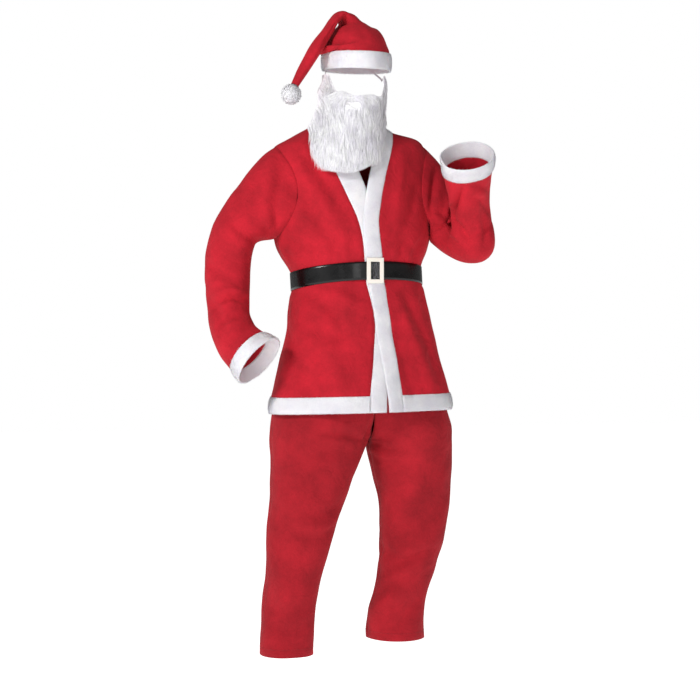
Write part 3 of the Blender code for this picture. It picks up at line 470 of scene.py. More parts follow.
def sleeve_surface(side, arm, table):
    """Point on a sleeve. Turn 0 starts at the shoulder tip and a quarter turn is in front."""
    _, _, outward, cross = arm.section(0.0)
    start = math.atan2(cross.z, outward.z)
    ahead = outward * math.cos(start + math.pi / 2) + cross * math.sin(start + math.pi / 2)
    sense = 1 if ahead.y < 0 else -1

    def ring(turn, part):
        centre, _, outward, cross = arm.section(part)
        angle = start + sense * turn
        in_plane, across = math.cos(angle), math.sin(angle)
        reach = table.read("outer" if in_plane > 0 else "inner", part)
        radius = 1 / math.sqrt((in_plane / reach) ** 2 + (across / table.read("across", part)) ** 2)
        return centre + (outward * in_plane + cross * across) * radius

    def head(turn):
        """The armhole's edge, run a little past the panels' edges."""
        angle, level = armhole(side, turn)
        middle = (SHOULDER_TIP + ARMPIT) / 2
        past = 1 + ARMHOLE_LAP / 0.12
        quarter = side * math.pi / 2
        return torso(quarter + (angle - quarter) * past, middle + (level - middle) * past)

    def point(turn, part):
        turn = math.remainder(turn, 2 * math.pi)
        if part >= SLEEVE_HEAD:
            return ring(turn, part)
        share = max(0.0, part) / SLEEVE_HEAD
        along = arm.section(SLEEVE_HEAD)[1]
        top = (1 + math.cos(turn)) / 2
        leave = (Vector((side * 0.87, 0, -0.50)) * SHOULDER_FULLNESS * top ** 1.5
                 + Vector((side * 0.50, 0, -0.87)) * UNDERARM_FULLNESS[side] * (1 - top)
                 + Vector((side * 0.010, 0, -0.006)))
        start_point, end = head(turn), ring(turn, SLEEVE_HEAD)
        points = (start_point, start_point + leave, end - along * (0.012 + 0.033 * top), end)
        weights = ((1 - share) ** 3, 3 * share * (1 - share) ** 2, 3 * share * share * (1 - share), share ** 3)
        return sum((p * w for p, w in zip(points, weights)), Vector((0, 0, 0)))

    return point


def belt_stand_off(angle, level):
    """Clear of the jacket, and over both front bands at the centre."""
    across = torso(angle, level).x - TORSO.read("middle", WAIST)
    over_front = ease((across + 0.085) / 0.05) * ease((0.095 - across) / 0.05) if math.cos(angle) > 0 else 0.0
    return VINYL + 0.0008 + (OVERLAP_LIFT + 0.0006) * over_front


def leg_folds(turn, level, phase):
    """Soft creases across the knee and shin."""
    return 0.0028 * math.cos(3 * turn + 26 * level + phase) * ease((-0.98 - level) / 0.1)


def leg_surface(side, table):
    def point(turn, level):
        """Turn 0 is the outer side and a half turn the inner one, by way of the front."""
        across = table.read("half_width", level)
        depth = table.read("front" if math.sin(turn) > 0 else "back", level)
        swell = 1 + leg_folds(turn, level, 1.3 * side) / 0.09
        x = table.read("across", level) + side * across * swell * signed_power(math.cos(turn), 2 / 2.1)
        y = table.read("along", level) - depth * swell * signed_power(math.sin(turn), 2 / 2.1)
        return Vector((x, y, level))
    return point


def inner_turn(side, table, level):
    """Where the ring meets the middle of the body, which is the inner seam below the crotch."""
    if level <= CROTCH + 0.0005:
        return math.pi
    offset = side * (table.read("across", level) - LEG_MIDDLE.read("across", level)) - 0.0004
    share = signed_power(-offset / table.read("half_width", level), 2.1 / 2)
    return math.acos(max(-1.0, min(1.0, share)))


def leg_levels(table):
    top = TROUSER_WAIST - WAISTBAND
    bottom = table.rows[-1][0]
    upper = [top + (CROTCH - top) * (1 - (1 - step / 9) ** 1.25) for step in range(10)]
    lower = [CROTCH + (bottom - CROTCH) * (step / 10) for step in range(1, 11)]
    return upper + lower


def hat_surface(turn, part):
    """Folded cone. Part counts the table's rows, and values below 0 run straight down into the band."""
    def centre(at):
        return Vector([HAT.read(name, at) for name in ("across", "along", "level")])

    if part < 0.35:
        along = Vector((0, 0, 1))
    else:
        along = (centre(min(11, part + 0.3)) - centre(max(0, part - 0.3))).normalized()
    ahead = Vector((0, -1, 0))
    ahead = (ahead - ahead.dot(along) * along).normalized()
    out = ahead.cross(along)
    middle = centre(part) + Vector((0, 0, min(0.0, part)))
    wide, deep = HAT.read("half_width", part), HAT.read("half_depth", part)
    if math.cos(turn) > 0:
        wide *= 1 + HAT_FULLNESS * ease((part - 0.1) / 1.2) * ease((4.3 - part) / 1.3)
    point = middle + out * wide * math.cos(turn) + ahead * deep * math.sin(turn)
    return point + Vector((0, 0, HAT_TILT * (point.y - middle.y) * (1 - ease(part / 3))))


def beard_surface(angle, level):
    half_width = BEARD.read("half_width", level)
    across = BEARD.read("middle", level) + half_width * math.sin(angle)
    return Vector((across, -0.012 - (BEARD.read("front", level) - 0.012) * math.cos(angle), level))


def beard_angle(across, level):
    share = (across - BEARD.read("middle", level)) / BEARD.read("half_width", level)
    return math.asin(max(-0.995, min(0.995, share)))


def beard_locks(angle, level):
    """Raised locks that run down, and the fuller hair over the lip."""
    locks = LOCK_HEIGHT * math.cos(15 * angle + 9 * math.sin(14 * level)) * ease((0.14 - level) / 0.03)
    point = beard_surface(angle, level)
    lip = 0.010 * math.exp(-((level - 0.072) / 0.016) ** 2) * math.exp(-((point.x + 0.020) / 0.050) ** 2)
    return locks + lip


# Cloth with soft folds

outer_faces = {}          # how many faces lie on each piece's outer side


def in_metres(rows):
    """Crease rows in metres: width, depth and points."""
    return [(width / 10000, depth / 10000, [(x / 1000, z / 1000) for x, z in line])
            for width, depth, *line in rows]


# Width and depth in tenths of a millimetre (a depth below 0 is a valley), then the line's points in
# millimetres, as (distance to the view's right, level)
CREASES = in_metres((
    (86, -32, (-195, -281), (-200, -215), (-189, -149), (-180, -92)),
    (129, 22, (-220, -281), (-226, -215), (-217, -149), (-209, -101)),
    (100, -26, (-215, -304), (-257, -270), (-295, -210), (-312, -158)),
    (114, -24, (-243, -333), (-297, -304), (-335, -252)),
    (114, 18, (-243, -287), (-277, -241), (-306, -187)),
    (129, -22, (-398, -378), (-358, -415), (-318, -430)),
    (74, -32, (-280, -496), (-318, -484), (-358, -496)),
    (92, 24, (-277, -476), (-318, -461), (-363, -473)),
    (86, -24, (-289, -533), (-323, -538), (-352, -564)),
    (86, -20, (-269, -561), (-297, -584), (-318, -616)),
    (114, -20, (-386, -487), (-358, -521), (-340, -573)),
    (186, 30, (-143, -121), (-77, -201), (-14, -304)),
    (157, -30, (-172, -149), (-100, -247), (-31, -344)),
    (129, -20, (-123, -87), (-60, -161), (-6, -241)),
    (114, -26, (-186, -310), (-146, -338), (-89, -355)),
    (86, -20, (-169, -361), (-117, -378), (-60, -375)),
    (74, -20, (-100, -387), (-94, -350), (-112, -315)),
    (74, -18, (-37, -375), (-40, -344), (-26, -315)),
    (74, -16, (14, -370), (9, -338), (20, -310)),
    (143, -30, (-140, -458), (-89, -487), (-37, -527), (-9, -573)),
    (143, 24, (-106, -447), (-37, -470), (37, -504)),
    (92, -22, (-20, -441), (14, -470), (54, -487)),
    (172, -24, (-83, -573), (-31, -596), (14, -584)),
    (172, -22, (-174, -573), (-134, -636), (-112, -716)),
    (200, 20, (-49, -630), (-31, -693), (-20, -750)),
    (143, 24, (140, -487), (186, -601), (237, -727)),
    (114, -22, (163, -476), (220, -590), (266, -716)),
    (129, -18, (129, -573), (163, -676), (186, -750)),
    (172, 22, (157, -87), (146, -172), (129, -270)),
    (143, -24, (197, -161), (180, -247), (146, -327)),
    (74, -18, (146, -378), (152, -344), (174, -315)),
    (74, -22, (189, -384), (192, -350), (209, -321)),
    (92, -36, (243, -292), (237, -230), (246, -167), (255, -109)),
    (63, -42, (292, -261), (269, -281), (240, -278)),
    (69, -42, (292, -261), (303, -224), (315, -189)),
    (74, -36, (292, -261), (320, -292), (349, -333)),
    (63, -34, (292, -261), (269, -241), (246, -235)),
    (69, 30, (277, -270), (289, -292), (312, -315)),
    (69, 28, (280, -247), (292, -218), (289, -184)),
    (103, -26, (386, -344), (392, -292), (380, -241)),
    (97, -24, (415, -252), (375, -218), (335, -207)),
    (103, -18, (406, -189), (369, -178), (329, -184)),
    (69, -40, (72, -813), (66, -853), (54, -890)),
    (103, -30, (49, -887), (-3, -867), (-72, -859)),
    (114, -26, (31, -922), (-20, -910), (-83, -922)),
    (97, -32, (63, -893), (106, -916), (157, -922)),
    (103, -26, (72, -933), (117, -950), (174, -945)),
    (74, 18, (69, -913), (112, -933), (169, -933)),
    (143, -28, (-6, -1059), (-60, -1093), (-123, -1082)),
    (143, -26, (-26, -1128), (-83, -1156), (-140, -1139)),
    (114, 18, (-14, -1093), (-72, -1125), (-134, -1111)),
    (143, -24, (-220, -1345), (-174, -1362), (-117, -1345)),
    (129, -22, (-106, -1397), (-157, -1419), (-209, -1402)),
    (157, -28, (97, -1196), (146, -1231), (209, -1219)),
    (114, -30, (97, -1271), (140, -1248), (220, -1208), (260, -1196)),
    (129, -30, (83, -1334), (123, -1299), (174, -1282)),
    (114, 20, (69, -1391), (117, -1345), (163, -1334)),
    (129, -22, (209, -1345), (174, -1379), (146, -1425)),
    (74, -40, (-20, 314), (-40, 274), (-66, 222)),
    (129, -18, (14, 302), (43, 274), (54, 234)),
    (129, 16, (-20, 274), (14, 245), (83, 234)),
))
# The same on the back, as (distance to the wearer's left, level)
BACK_CREASES = in_metres((
    (160, -30, (20, -380), (30, -320), (60, -250)),
    (140, -26, (-40, -385), (-60, -320), (-110, -260)),
    (140, -26, (90, -385), (110, -330), (150, -280)),
    (200, 26, (-150, -90), (-90, -160), (-30, -230)),
    (200, 26, (160, -90), (100, -160), (50, -240)),
    (180, -30, (-170, -110), (-120, -190), (-80, -280)),
    (180, -30, (190, -110), (140, -200), (110, -290)),
    (140, -30, (-60, -470), (-80, -560), (-110, -700)),
    (160, -30, (60, -470), (70, -560), (80, -720)),
    (140, -26, (140, -470), (160, -560), (200, -700)),
    (180, 24, (0, -470), (-10, -560), (-20, -740)),
    (100, -40, (52, -800), (55, -850), (57, -889)),
    (140, -34, (50, -885), (-20, -880), (-90, -860)),
    (140, -34, (64, -885), (130, -880), (200, -860)),
    (140, -30, (-60, -1130), (-130, -1160), (-200, -1150)),
    (140, -30, (-70, -1200), (-140, -1215), (-210, -1195)),
    (140, -30, (120, -1150), (190, -1170), (260, -1150)),
    (140, -30, (120, -1225), (180, -1245), (250, -1230)),
    (120, -30, (-280, -400), (-330, -420), (-390, -400)),
    (120, -30, (-290, -460), (-340, -480), (-400, -455)),
    (120, -30, (300, -260), (340, -310), (350, -370)),
))
CREASE_SCALE = 3.3        # chosen for creases as deep as they look in the photograph
# Long gentle waves that worn cloth is never without: how often each turns over in a metre along X, Y and Z,
# its height, and where it starts
WAVES = (
    (41.0, 23.0, 12.0, 0.00062, 0.3), (-29.0, 37.0, 17.0, 0.00062, 1.9), (17.0, -31.0, 33.0, 0.00055, 2.6),
    (53.0, 11.0, -21.0, 0.00050, 4.1), (-13.0, 47.0, 39.0, 0.00045, 5.3), (71.0, -43.0, 29.0, 0.00028, 0.9),
    (-83.0, 31.0, 59.0, 0.00024, 3.3), (37.0, 89.0, -67.0, 0.00022, 1.1), (19.0, 27.0, 103.0, 0.00018, 2.2))


def crease_height(across, level, table):
    """Height of all creases of a table at points given across and level."""
    height = np.zeros(len(across))
    for width, depth, line in table:
        low = np.full(len(across), 1e9)
        fade = np.ones(len(across))
        count = len(line) - 1
        for index in range(count):
            (x0, z0), (x1, z1) = line[index], line[index + 1]
            run = (x1 - x0) ** 2 + (z1 - z0) ** 2
            share = np.clip(((across - x0) * (x1 - x0) + (level - z0) * (z1 - z0)) / run, 0, 1)
            away = np.hypot(across - x0 - share * (x1 - x0), level - z0 - share * (z1 - z0))
            place_on_line = (index + share) / count
            nearer = away < low
            fade = np.where(nearer, np.sin(np.pi * np.clip(0.15 + 0.7 * place_on_line, 0, 1)), fade)
            low = np.minimum(low, away)
        height += CREASE_SCALE * depth * fade * np.exp(-(low / width) ** 2)
    return height


# Points all round both armholes
ARMHOLE_SEAM = np.array([tuple(torso(*armhole(side, math.pi * step / 24)))
                         for side in (-1, 1) for step in range(48)])


def fold_height(points, normals):
    """How far the cloth stands off its plain form at each point. Folds fade at the belt and the armholes."""
    level = points[:, 2]
    wave = sum(h * np.sin(points @ np.array((a, b, c)) + start) for a, b, c, h, start in WAVES)
    across = points @ VIEW_RIGHT
    facing = np.clip((normals @ VIEW_BACK - 0.05) / 0.3, 0, 1)
    behind = np.clip((normals[:, 1] - 0.05) / 0.3, 0, 1)
    height = (wave + crease_height(across, level, CREASES) * facing
              + crease_height(points[:, 0], level, BACK_CREASES) * behind)
    in_body = np.abs(points[:, 0] - 0.03) < 0.235
    near_belt = np.clip((np.abs(level - WAIST) - 0.030) / 0.030, 0, 1)
    to_seam = np.min(np.linalg.norm(points[:, None] - ARMHOLE_SEAM[None], axis=2), axis=1)
    near_seam = 0.15 + 0.85 * np.clip(to_seam / 0.030, 0, 1)
    return height * np.where(in_body, near_belt, 1.0) * near_seam


def grid_points(surface, rows, sense, v_step, out, raised):
    """Points, normals and lifts of the outer face of a grid of (u, v)."""
    points, normals, lifts = [], [], []
    for row in rows:
        for u, v in row:
            normal = normal_at(surface, u, v, v_step=v_step) * sense
            point = surface(u, v) + normal * (out(u, v) if out else 0.0)
            points.append(tuple(point))
            normals.append(tuple(normal))
            lifts.append(raised(u, v) if raised else 0.0)
    return np.array(points), np.array(normals), np.array(lifts)


def plumpness(height, width, axis, amount):
    """Pile that stands fuller along the middle of a trim band than at its two long edges."""
    shares = np.linspace(0, 1, (height, width)[axis])
    profile = amount * (1 - np.abs(2 * shares - 1) ** 3.0) - 0.0004
    full = np.repeat(profile[:, None], width, 1) if axis == 0 else np.repeat(profile[None, :], height, 0)
    return full.reshape(-1)


def cloth(name, surface, rows, thickness, finish, out=None, closed=False, skip=(), v_step=0.002, sense=1,
          raised=None, folds=1.0, plump=None):
    """A cloth wall with an outer and an inner face, folds, and edges rounded to the cloth's thickness."""
    height, width = len(rows), len(rows[0])
    points, normals, lifts = grid_points(surface, rows, sense, v_step, out, raised)
    share = folds(points) if callable(folds) else folds
    moved = fold_height(points, normals) * share
    if plump:
        lifts = lifts + plumpness(height, width, *plump)
    outer = (points + normals * (moved + lifts)[:, None]).reshape(height, width, 3)
    inner = (points + normals * (moved - thickness)[:, None]).reshape(height, width, 3)
    shape = bmesh.new()
    verts = [[[shape.verts.new(layer[i, j]) for j in range(width)] for i in range(height)]
             for layer in (outer, inner)]
    edges, quads = {}, []
    for i in range(height - 1):
        for j in range(width if closed else width - 1):
            if (i, j) in skip:
                continue
            k = (j + 1) % width
            ring = [(i, j), (i + 1, j), (i + 1, k), (i, k)]
            quads.append(ring)
            for start, end in zip(ring, ring[1:] + ring[:1]):
                if (end, start) in edges:
                    del edges[(end, start)]
                else:
                    edges[(start, end)] = True
    for layer, order in ((0, 1), (1, -1)):
        for ring in quads:
            shape.faces.new([verts[layer][a][b] for a, b in ring[::order]])
    middles = {}

    def middle(a, b):
        """Rounded rim: a point half way through the cloth, a little proud of the cut edge."""
        if (a, b) not in middles:
            top, low = Vector(outer[a, b]), Vector(inner[a, b])
            inside_a = min(max(a, 1), height - 2)
            inside_b = b if closed else min(max(b, 1), width - 2)
            away = top - Vector(outer[inside_a, inside_b])
            bulge = away.normalized() * thickness * 0.25 if away.length > 1e-9 else Vector((0, 0, 0))
            middles[(a, b)] = shape.verts.new((top + low) / 2 + bulge)
        return middles[(a, b)]

    for (a, b), (c, d) in edges:
        here, there = middle(a, b), middle(c, d)
        shape.faces.new([verts[0][c][d], verts[0][a][b], here, there])
        shape.faces.new([there, here, verts[1][a][b], verts[1][c][d]])
    loose = [v for v in shape.verts if not v.link_faces]
    bmesh.ops.delete(shape, geom=loose, context="VERTS")
    if shape.calc_volume(signed=True) < 0:
        bmesh.ops.reverse_faces(shape, faces=shape.faces)
    mesh = bpy.data.meshes.new(name)
    shape.to_mesh(mesh)
    shape.free()
    outer_faces[name] = len(quads)
    return keep(name, mesh, finish)


def keep(name, mesh, finish):
    """Links a finished mesh as a piece of the suit."""
    mesh.materials.append(finish)
    mesh.shade_smooth()
    piece = bpy.data.objects.new(name, mesh)
    bpy.context.scene.collection.objects.link(piece)
    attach(piece, "root")
    return piece


# Finishes

def colour(hex_value):
    """A colour from its sRGB hex value, for a shader."""
    parts = [int(hex_value[i:i + 2], 16) / 255 for i in (1, 3, 5)]
    linear = [p / 12.92 if p <= 0.04045 else ((p + 0.055) / 1.055) ** 2.4 for p in parts]
    return (*linear, 1.0)


def add(tree, kind, links=None, **settings):
    """Adds a node. Settings are its own properties, or its sockets where the name starts with in_."""
    made = tree.nodes.new(kind)
    for name, value in settings.items():
        if name.startswith("in_"):
            key = name[3:].replace("_", " ")
            made.inputs[int(key) if key.isdigit() else key].default_value = value
        else:
            setattr(made, name, value)
    for key, socket in (links or {}).items():
        tree.links.new(socket, made.inputs[key])
    return made


class Finish:
    """A material with one shader, and textures laid out in metres on the object."""

    def __init__(self, name, **sockets):
        self.material = bpy.data.materials.new(name)
        self.material.use_nodes = True
        self.tree = self.material.node_tree
        self.shader = self.tree.nodes["Principled BSDF"]
        for key, value in sockets.items():
            self.shader.inputs[key.replace("_", " ")].default_value = value
        self.place = add(self.tree, "ShaderNodeTexCoord").outputs["Object"]

    def noise(self, scale, detail, roughness=0.5, distortion=0.0, drawn_out=(1.0, 1.0, 1.0)):
        place = self.place
        if drawn_out != (1.0, 1.0, 1.0):
            place = add(self.tree, "ShaderNodeMapping", {"Vector": place}, in_Scale=drawn_out).outputs["Vector"]
        return add(self.tree, "ShaderNodeTexNoise", {"Vector": place}, in_Scale=scale, in_Detail=detail,
                   in_Roughness=roughness, in_Distortion=distortion).outputs["Fac"]

    def cells(self, scale, smoothness):
        return add(self.tree, "ShaderNodeTexVoronoi", {"Vector": self.place}, in_Scale=scale,
                   feature="SMOOTH_F1", in_Smoothness=smoothness).outputs["Distance"]

    def colours(self, main, mottle, low, deep, high, lit):
        """Two thirds of one pattern and a third of another, as a blend from the deep colour to the lit one."""
        soft = add(self.tree, "ShaderNodeMath", {0: main}, operation="MULTIPLY", in_1=0.66).outputs[0]
        mixed = add(self.tree, "ShaderNodeMath", {0: mottle, 2: soft}, operation="MULTIPLY_ADD", in_1=0.34)
        ramp = add(self.tree, "ShaderNodeValToRGB", {"Fac": mixed.outputs[0]})
        for stop, position, shade in zip(ramp.color_ramp.elements, (low, high), (deep, lit)):
            stop.position = position
            stop.color = colour(shade)
        self.tree.links.new(ramp.outputs["Color"], self.shader.inputs["Base Color"])

    def gloss(self, pattern, smooth, rough):
        """Roughness that wanders between two values."""
        spread = add(self.tree, "ShaderNodeMapRange", {"Value": pattern}, in_From_Min=0.3, in_From_Max=0.7,
                     in_To_Min=smooth, in_To_Max=rough)
        self.tree.links.new(spread.outputs["Result"], self.shader.inputs["Roughness"])

    def bumps(self, *layers):
        """Bump layers from the coarsest to the finest, each a pattern with its strength and distance."""
        links = {}
        for pattern, strength, distance in layers:
            normal = add(self.tree, "ShaderNodeBump", {"Height": pattern, **links}, in_Strength=strength,
                         in_Distance=distance).outputs["Normal"]
            links = {"Normal": normal}
        self.tree.links.new(normal, self.shader.inputs["Normal"])


def felt(name, lit, deep):
    """Brushed polyester felt: a matt, slightly uneven nap of fibres lying every way, with a faint bloom at
    grazing angles and cloudy patches where the nap is stroked."""
    made = Finish(name, Roughness=0.92, Specular_IOR_Level=0.18, Sheen_Weight=0.10, Sheen_Roughness=0.45,
                  Sheen_Tint=colour("#FF8A8A"))
    nap = made.noise(230.0, 5.0, 0.7, 1.2)
    made.colours(made.noise(14.0, 4.0, 0.6), nap, 0.30, deep, 0.72, lit)
    made.bumps((made.noise(26.0, 2.0, distortion=0.8), 0.6, 0.007), (nap, 0.30, 0.0012),
               (made.noise(900.0, 3.0, 0.8), 0.28, 0.0005))
    return made.material


def fleece(name, lit, deep):
    """White knitted fleece: a short soft pile in loose curls, matt, with cool shade between the tufts."""
    made = Finish(name, Roughness=0.95, Specular_IOR_Level=0.12, Sheen_Weight=0.25, Sheen_Roughness=0.5,
                  Subsurface_Weight=0.08, Subsurface_Scale=0.004)
    curls = made.noise(420.0, 4.0, 0.65, 2.2)
    made.colours(curls, made.noise(18.0, 3.0), 0.28, deep, 0.62, lit)
    made.bumps((curls, 0.6, 0.0028), (made.cells(420.0 * 1.4, 0.6), 0.25, 0.0012))
    return made.material


def hair(name, lit, deep):
    """Straight acrylic fur, brushed: white fibres with a soft gleam along them, and painted cool grey shade in
    the grooves between the locks. A faint glow stands for the light that scatters between them."""
    made = Finish(name, Roughness=0.62, Specular_IOR_Level=0.25, Sheen_Weight=0.15,
                  Emission_Color=(1, 1, 1, 1), Emission_Strength=0.03)
    locks = made.noise(1.0, 4.0, 0.65, drawn_out=(330.0, 330.0, 26.0))
    # The colour follows the locks' bump pattern, so the deep colour is painted shade in the grooves between
    # them
    made.colours(locks, made.noise(30.0, 3.0), 0.32, deep, 0.60, lit)
    made.bumps((locks, 0.5, 0.0016))
    return made.material


def vinyl(name):
    """Black PVC sheeting, embossed with a faint leather grain, with the soft gleam of new vinyl."""
    made = Finish(name, Base_Color=colour("#040405"), Roughness=0.27, IOR=1.40, Coat_Weight=0.10,
                  Coat_Roughness=0.12)
    made.gloss(made.noise(24.0, 4.0), 0.22, 0.34)
    made.bumps((made.noise(32.0, 2.0), 0.35, 0.002), (made.cells(620.0, 0.5), 0.12, 0.0004))
    return made.material


def moulded_plastic(name):
    """Injection-moulded white polystyrene: a satin gloss with the faint orange peel of the mould."""
    made = Finish(name, Base_Color=colour("#EBE4DA"), Roughness=0.34, IOR=1.5, Subsurface_Weight=0.06,
                  Subsurface_Scale=0.003)
    made.gloss(made.noise(60.0, 3.0), 0.29, 0.40)
    made.bumps((made.noise(420.0, 2.0), 0.10, 0.0003))
    return made.material


def braid(name):
    """Flat woven elastic: fine ribs across the tape."""
    made = Finish(name, Base_Color=colour("#ECE9F0"), Roughness=0.8, Specular_IOR_Level=0.2)
    ribs = add(made.tree, "ShaderNodeTexWave", {"Vector": made.place}, wave_type="BANDS", bands_direction="Z",
               in_Scale=260.0, in_Distortion=0.6)
    made.bumps((ribs.outputs["Fac"], 0.6, 0.0004), (made.noise(500.0, 2.0), 0.3, 0.0003))
    return made.material


def thread(name, hex_value):
    """Polyester sewing thread: twisted, with a little gleam."""
    made = Finish(name, Base_Color=colour(hex_value), Roughness=0.5)
    made.bumps((made.noise(1400.0, 1.0), 0.4, 0.0002))
    return made.material


# Fibres

def unit(vectors):
    return vectors / np.maximum(np.linalg.norm(vectors, axis=-1), 1e-9)[..., None]


def fibres(name, paths, normals, widths, finish_used, seed, soften=0.75):
    """Flat tapering fibres along their paths. The shading normals lean towards those of the cloth below, as
    light sees a brushed pile."""
    count, rings = paths.shape[:2]
    chance = np.random.default_rng(seed)
    side = unit(np.cross(paths[:, 1] - paths[:, 0], normals))
    turn = chance.uniform(-0.9, 0.9, count)[:, None]
    side = unit(side * np.cos(turn) + normals * np.sin(turn))
    away = np.einsum("ij,ij->i", np.cross(side, paths[:, -1] - paths[:, 0]), normals) < 0
    side[away] *= -1
    columns = []
    for ring in range(rings - 1):
        half = (widths * (1 - ring / (rings - 1)) ** 0.6 / 2)[:, None]
        columns += [paths[:, ring] - side * half, paths[:, ring] + side * half]
    columns.append(paths[:, -1])
    points = np.stack(columns, 1).reshape(-1, 3)
    pattern = []
    for ring in range(rings - 2):
        a, b, c, d = 2 * ring, 2 * ring + 1, 2 * ring + 3, 2 * ring + 2
        pattern += [(a, b, c), (a, c, d)]
    pattern.append((2 * rings - 4, 2 * rings - 3, 2 * rings - 2))
    faces = (np.array(pattern)[None] + (np.arange(count) * len(columns))[:, None, None]).reshape(-1, 3)
    mesh = bpy.data.meshes.new(name)
    mesh.vertices.add(len(points))
    mesh.vertices.foreach_set("co", points.astype(np.float32).ravel())
    mesh.loops.add(faces.size)
    mesh.loops.foreach_set("vertex_index", faces.astype(np.int32).ravel())
    mesh.polygons.add(len(faces))
    mesh.polygons.foreach_set("loop_start", np.arange(0, faces.size, 3, dtype=np.int32))
    mesh.update(calc_edges=True)
    piece = keep(name, mesh, finish_used)
    lean = unit(normals * soften + chance.normal(0, 1 - soften, (count, 3)))
    mesh.normals_split_custom_set_from_vertices(np.repeat(lean, len(columns), 0).tolist())
    return piece


def on_faces(piece, count, seed):
    """Random places on a piece's outer face and its rim, with their normals."""
    mesh = piece.data
    mesh.calc_loop_triangles()
    loops = mesh.loop_triangles
    points = np.empty(len(mesh.vertices) * 3, np.float32)
    mesh.vertices.foreach_get("co", points)
    corners = np.empty(len(loops) * 3, np.int32)
    loops.foreach_get("vertices", corners)
    owner = np.empty(len(loops), np.int32)
    loops.foreach_get("polygon_index", owner)
    quads = outer_faces.get(piece.name, 0)
    tri = points.reshape(-1, 3)[corners.reshape(-1, 3)][(owner < quads) | (owner >= 2 * quads)]
    cross = np.cross(tri[:, 1] - tri[:, 0], tri[:, 2] - tri[:, 0])
    size = np.linalg.norm(cross, axis=1)
    chance = np.random.default_rng(seed)
    picked = chance.choice(len(tri), count, p=size / size.sum())
    r1, r2 = np.sqrt(chance.random(count))[:, None], chance.random(count)[:, None]
    places = (1 - r1) * tri[picked, 0] + r1 * (1 - r2) * tri[picked, 1] + r1 * r2 * tri[picked, 2]
    return places, (cross / np.maximum(size, 1e-12)[:, None])[picked]


def fuzz(piece, count, length, width, finish_used, seed, down=0.4):
    """Short pile that softens a fleece piece's outline."""
    places, normals = on_faces(piece, count, seed)
    chance = np.random.default_rng(seed + 1)
    stray = chance.normal(0, 0.55, (count, 3))
    lengths = (chance.uniform(0.55, 1.0, count) * length)[:, None]
    ends = places + unit(normals * 0.8 + stray + np.array((0, 0, -down))) * lengths
    paths = np.stack([places - normals * 0.0004, ends], 1)
    return fibres(piece.name + "_pile", paths, normals, np.full(count, width), finish_used, seed + 2, 0.85)


# Finishes in use

jacket_felt = felt("red brushed felt of the jacket and hat", "#C61F2F", "#941722")
trouser_felt = felt("red brushed felt of the trousers", "#B01E2A", "#84151E")
trim = fleece("white knitted fleece trim", "#FFFEFF", "#DAD6E2")
# The second colour of each fur finish is the painted cool grey shade between its locks
pom = hair("white long-pile fleece", "#FFFFFF", "#ECE9F2")
fur = hair("white brushed acrylic fur", "#FFFFFF", "#E6E2EE")
black = vinyl("black embossed vinyl")
plastic = moulded_plastic("white moulded plastic")
tape = braid("white woven elastic")
red_thread = thread("red sewing thread", "#8E1420")

cloth_pieces = {}
QUARTER = math.pi / 2


def body_levels(farthest=0.0085):
    """The part's levels with others between them, so that neighbours lie about this far apart at most."""
    levels = []
    for high, low in zip(BODY_LEVELS, BODY_LEVELS[1:]):
        steps = max(2, round((high - low) / farthest))
        levels += [high + (low - high) * step / steps for step in range(steps)]
    return levels + [BODY_LEVELS[-1]]


BODY_LEVELS = body_levels()
# How far the bands and cuffs lie off the red cloth, and how much fuller than their edges they are along the
# middle, with the grid's axis that runs across them
BAND_LIFT = 0.0006
CUFF_LIFT = 0.0008
BAND_FULLNESS = (1, 0.0022)
HEM_FULLNESS = (0, 0.0026)


def sewn_piece(name, surface, rows, thickness, finish_used, slot, **how):
    """Makes a cloth piece in place of the solid of the same name."""
    made = cloth(name + "_sewn", surface, rows, thickness, finish_used, **how)
    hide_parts(name)
    cloth_pieces[name] = made
    return made


# Jacket

for side, table, word in ((-1, RIGHT_FRONT, "right"), (1, LEFT_FRONT, "left")):
    left = [sewn_edge(table, level) for level in edge_levels()]
    right = side_edge(side, behind=False)
    corner = (side * QUARTER, NECK_LEVEL)
    left[0] = corner
    top = between(corner, (side * QUARTER, SHOULDER_TIP), FRONT_COLUMNS)
    bottom = between(left[-1], right[-1], FRONT_COLUMNS)
    sewn_piece("jacket_front_" + word, torso, patch(top, bottom, left, right), FELT, jacket_felt, "jacket_felt",
               out=left_lift if side > 0 else None)

left = side_edge(1, behind=True)
right = [(angle + 2 * math.pi, level) for angle, level in side_edge(-1, behind=True)]
top = back_top()
bottom = between(left[-1], right[-1], len(top) - 1)
downs = [min(1.0, step / ARMHOLE_STEPS) for step in range(len(left))]
sewn_piece("jacket_back", torso, patch(top, bottom, left, right, downs), FELT, jacket_felt, "jacket_felt")


def band_off(side):
    return lambda angle, level: BAND_LIFT + (left_lift(angle, level) if side > 0 else 0.0)


hem_levels = [JACKET_HEM + BAND * (1 - step / BAND_COLUMNS) for step in range(BAND_COLUMNS + 1)]
for side, table, word in ((-1, RIGHT_FRONT, "right"), (1, LEFT_FRONT, "left")):
    rows = []
    for step in range(NECK_COLUMNS // 2):
        angle = side * (math.pi - QUARTER * step / (NECK_COLUMNS // 2))
        rows.append(between((angle, NECK_LEVEL), (angle, NECK_TOP), BAND_COLUMNS))
    for index, level in enumerate(edge_levels() + hem_levels[1:]):
        sewn = (side * QUARTER, level) if index == 0 else sewn_edge(table, level)
        free = (side * QUARTER, NECK_TOP) if index == 0 else free_edge(table, level)
        rows.append(between(sewn, free, BAND_COLUMNS))
    sewn_piece("front_band_" + word, torso, rows, FLEECE, trim, "fleece", out=band_off(side),
               plump=BAND_FULLNESS)
    rows = [between(sewn_edge(table, level), (side * QUARTER, level), FRONT_COLUMNS * 2)
            for level in hem_levels]
    sewn_piece("hem_band_" + word, torso, rows, FLEECE, trim, "fleece", out=band_off(side),
               plump=HEM_FULLNESS)
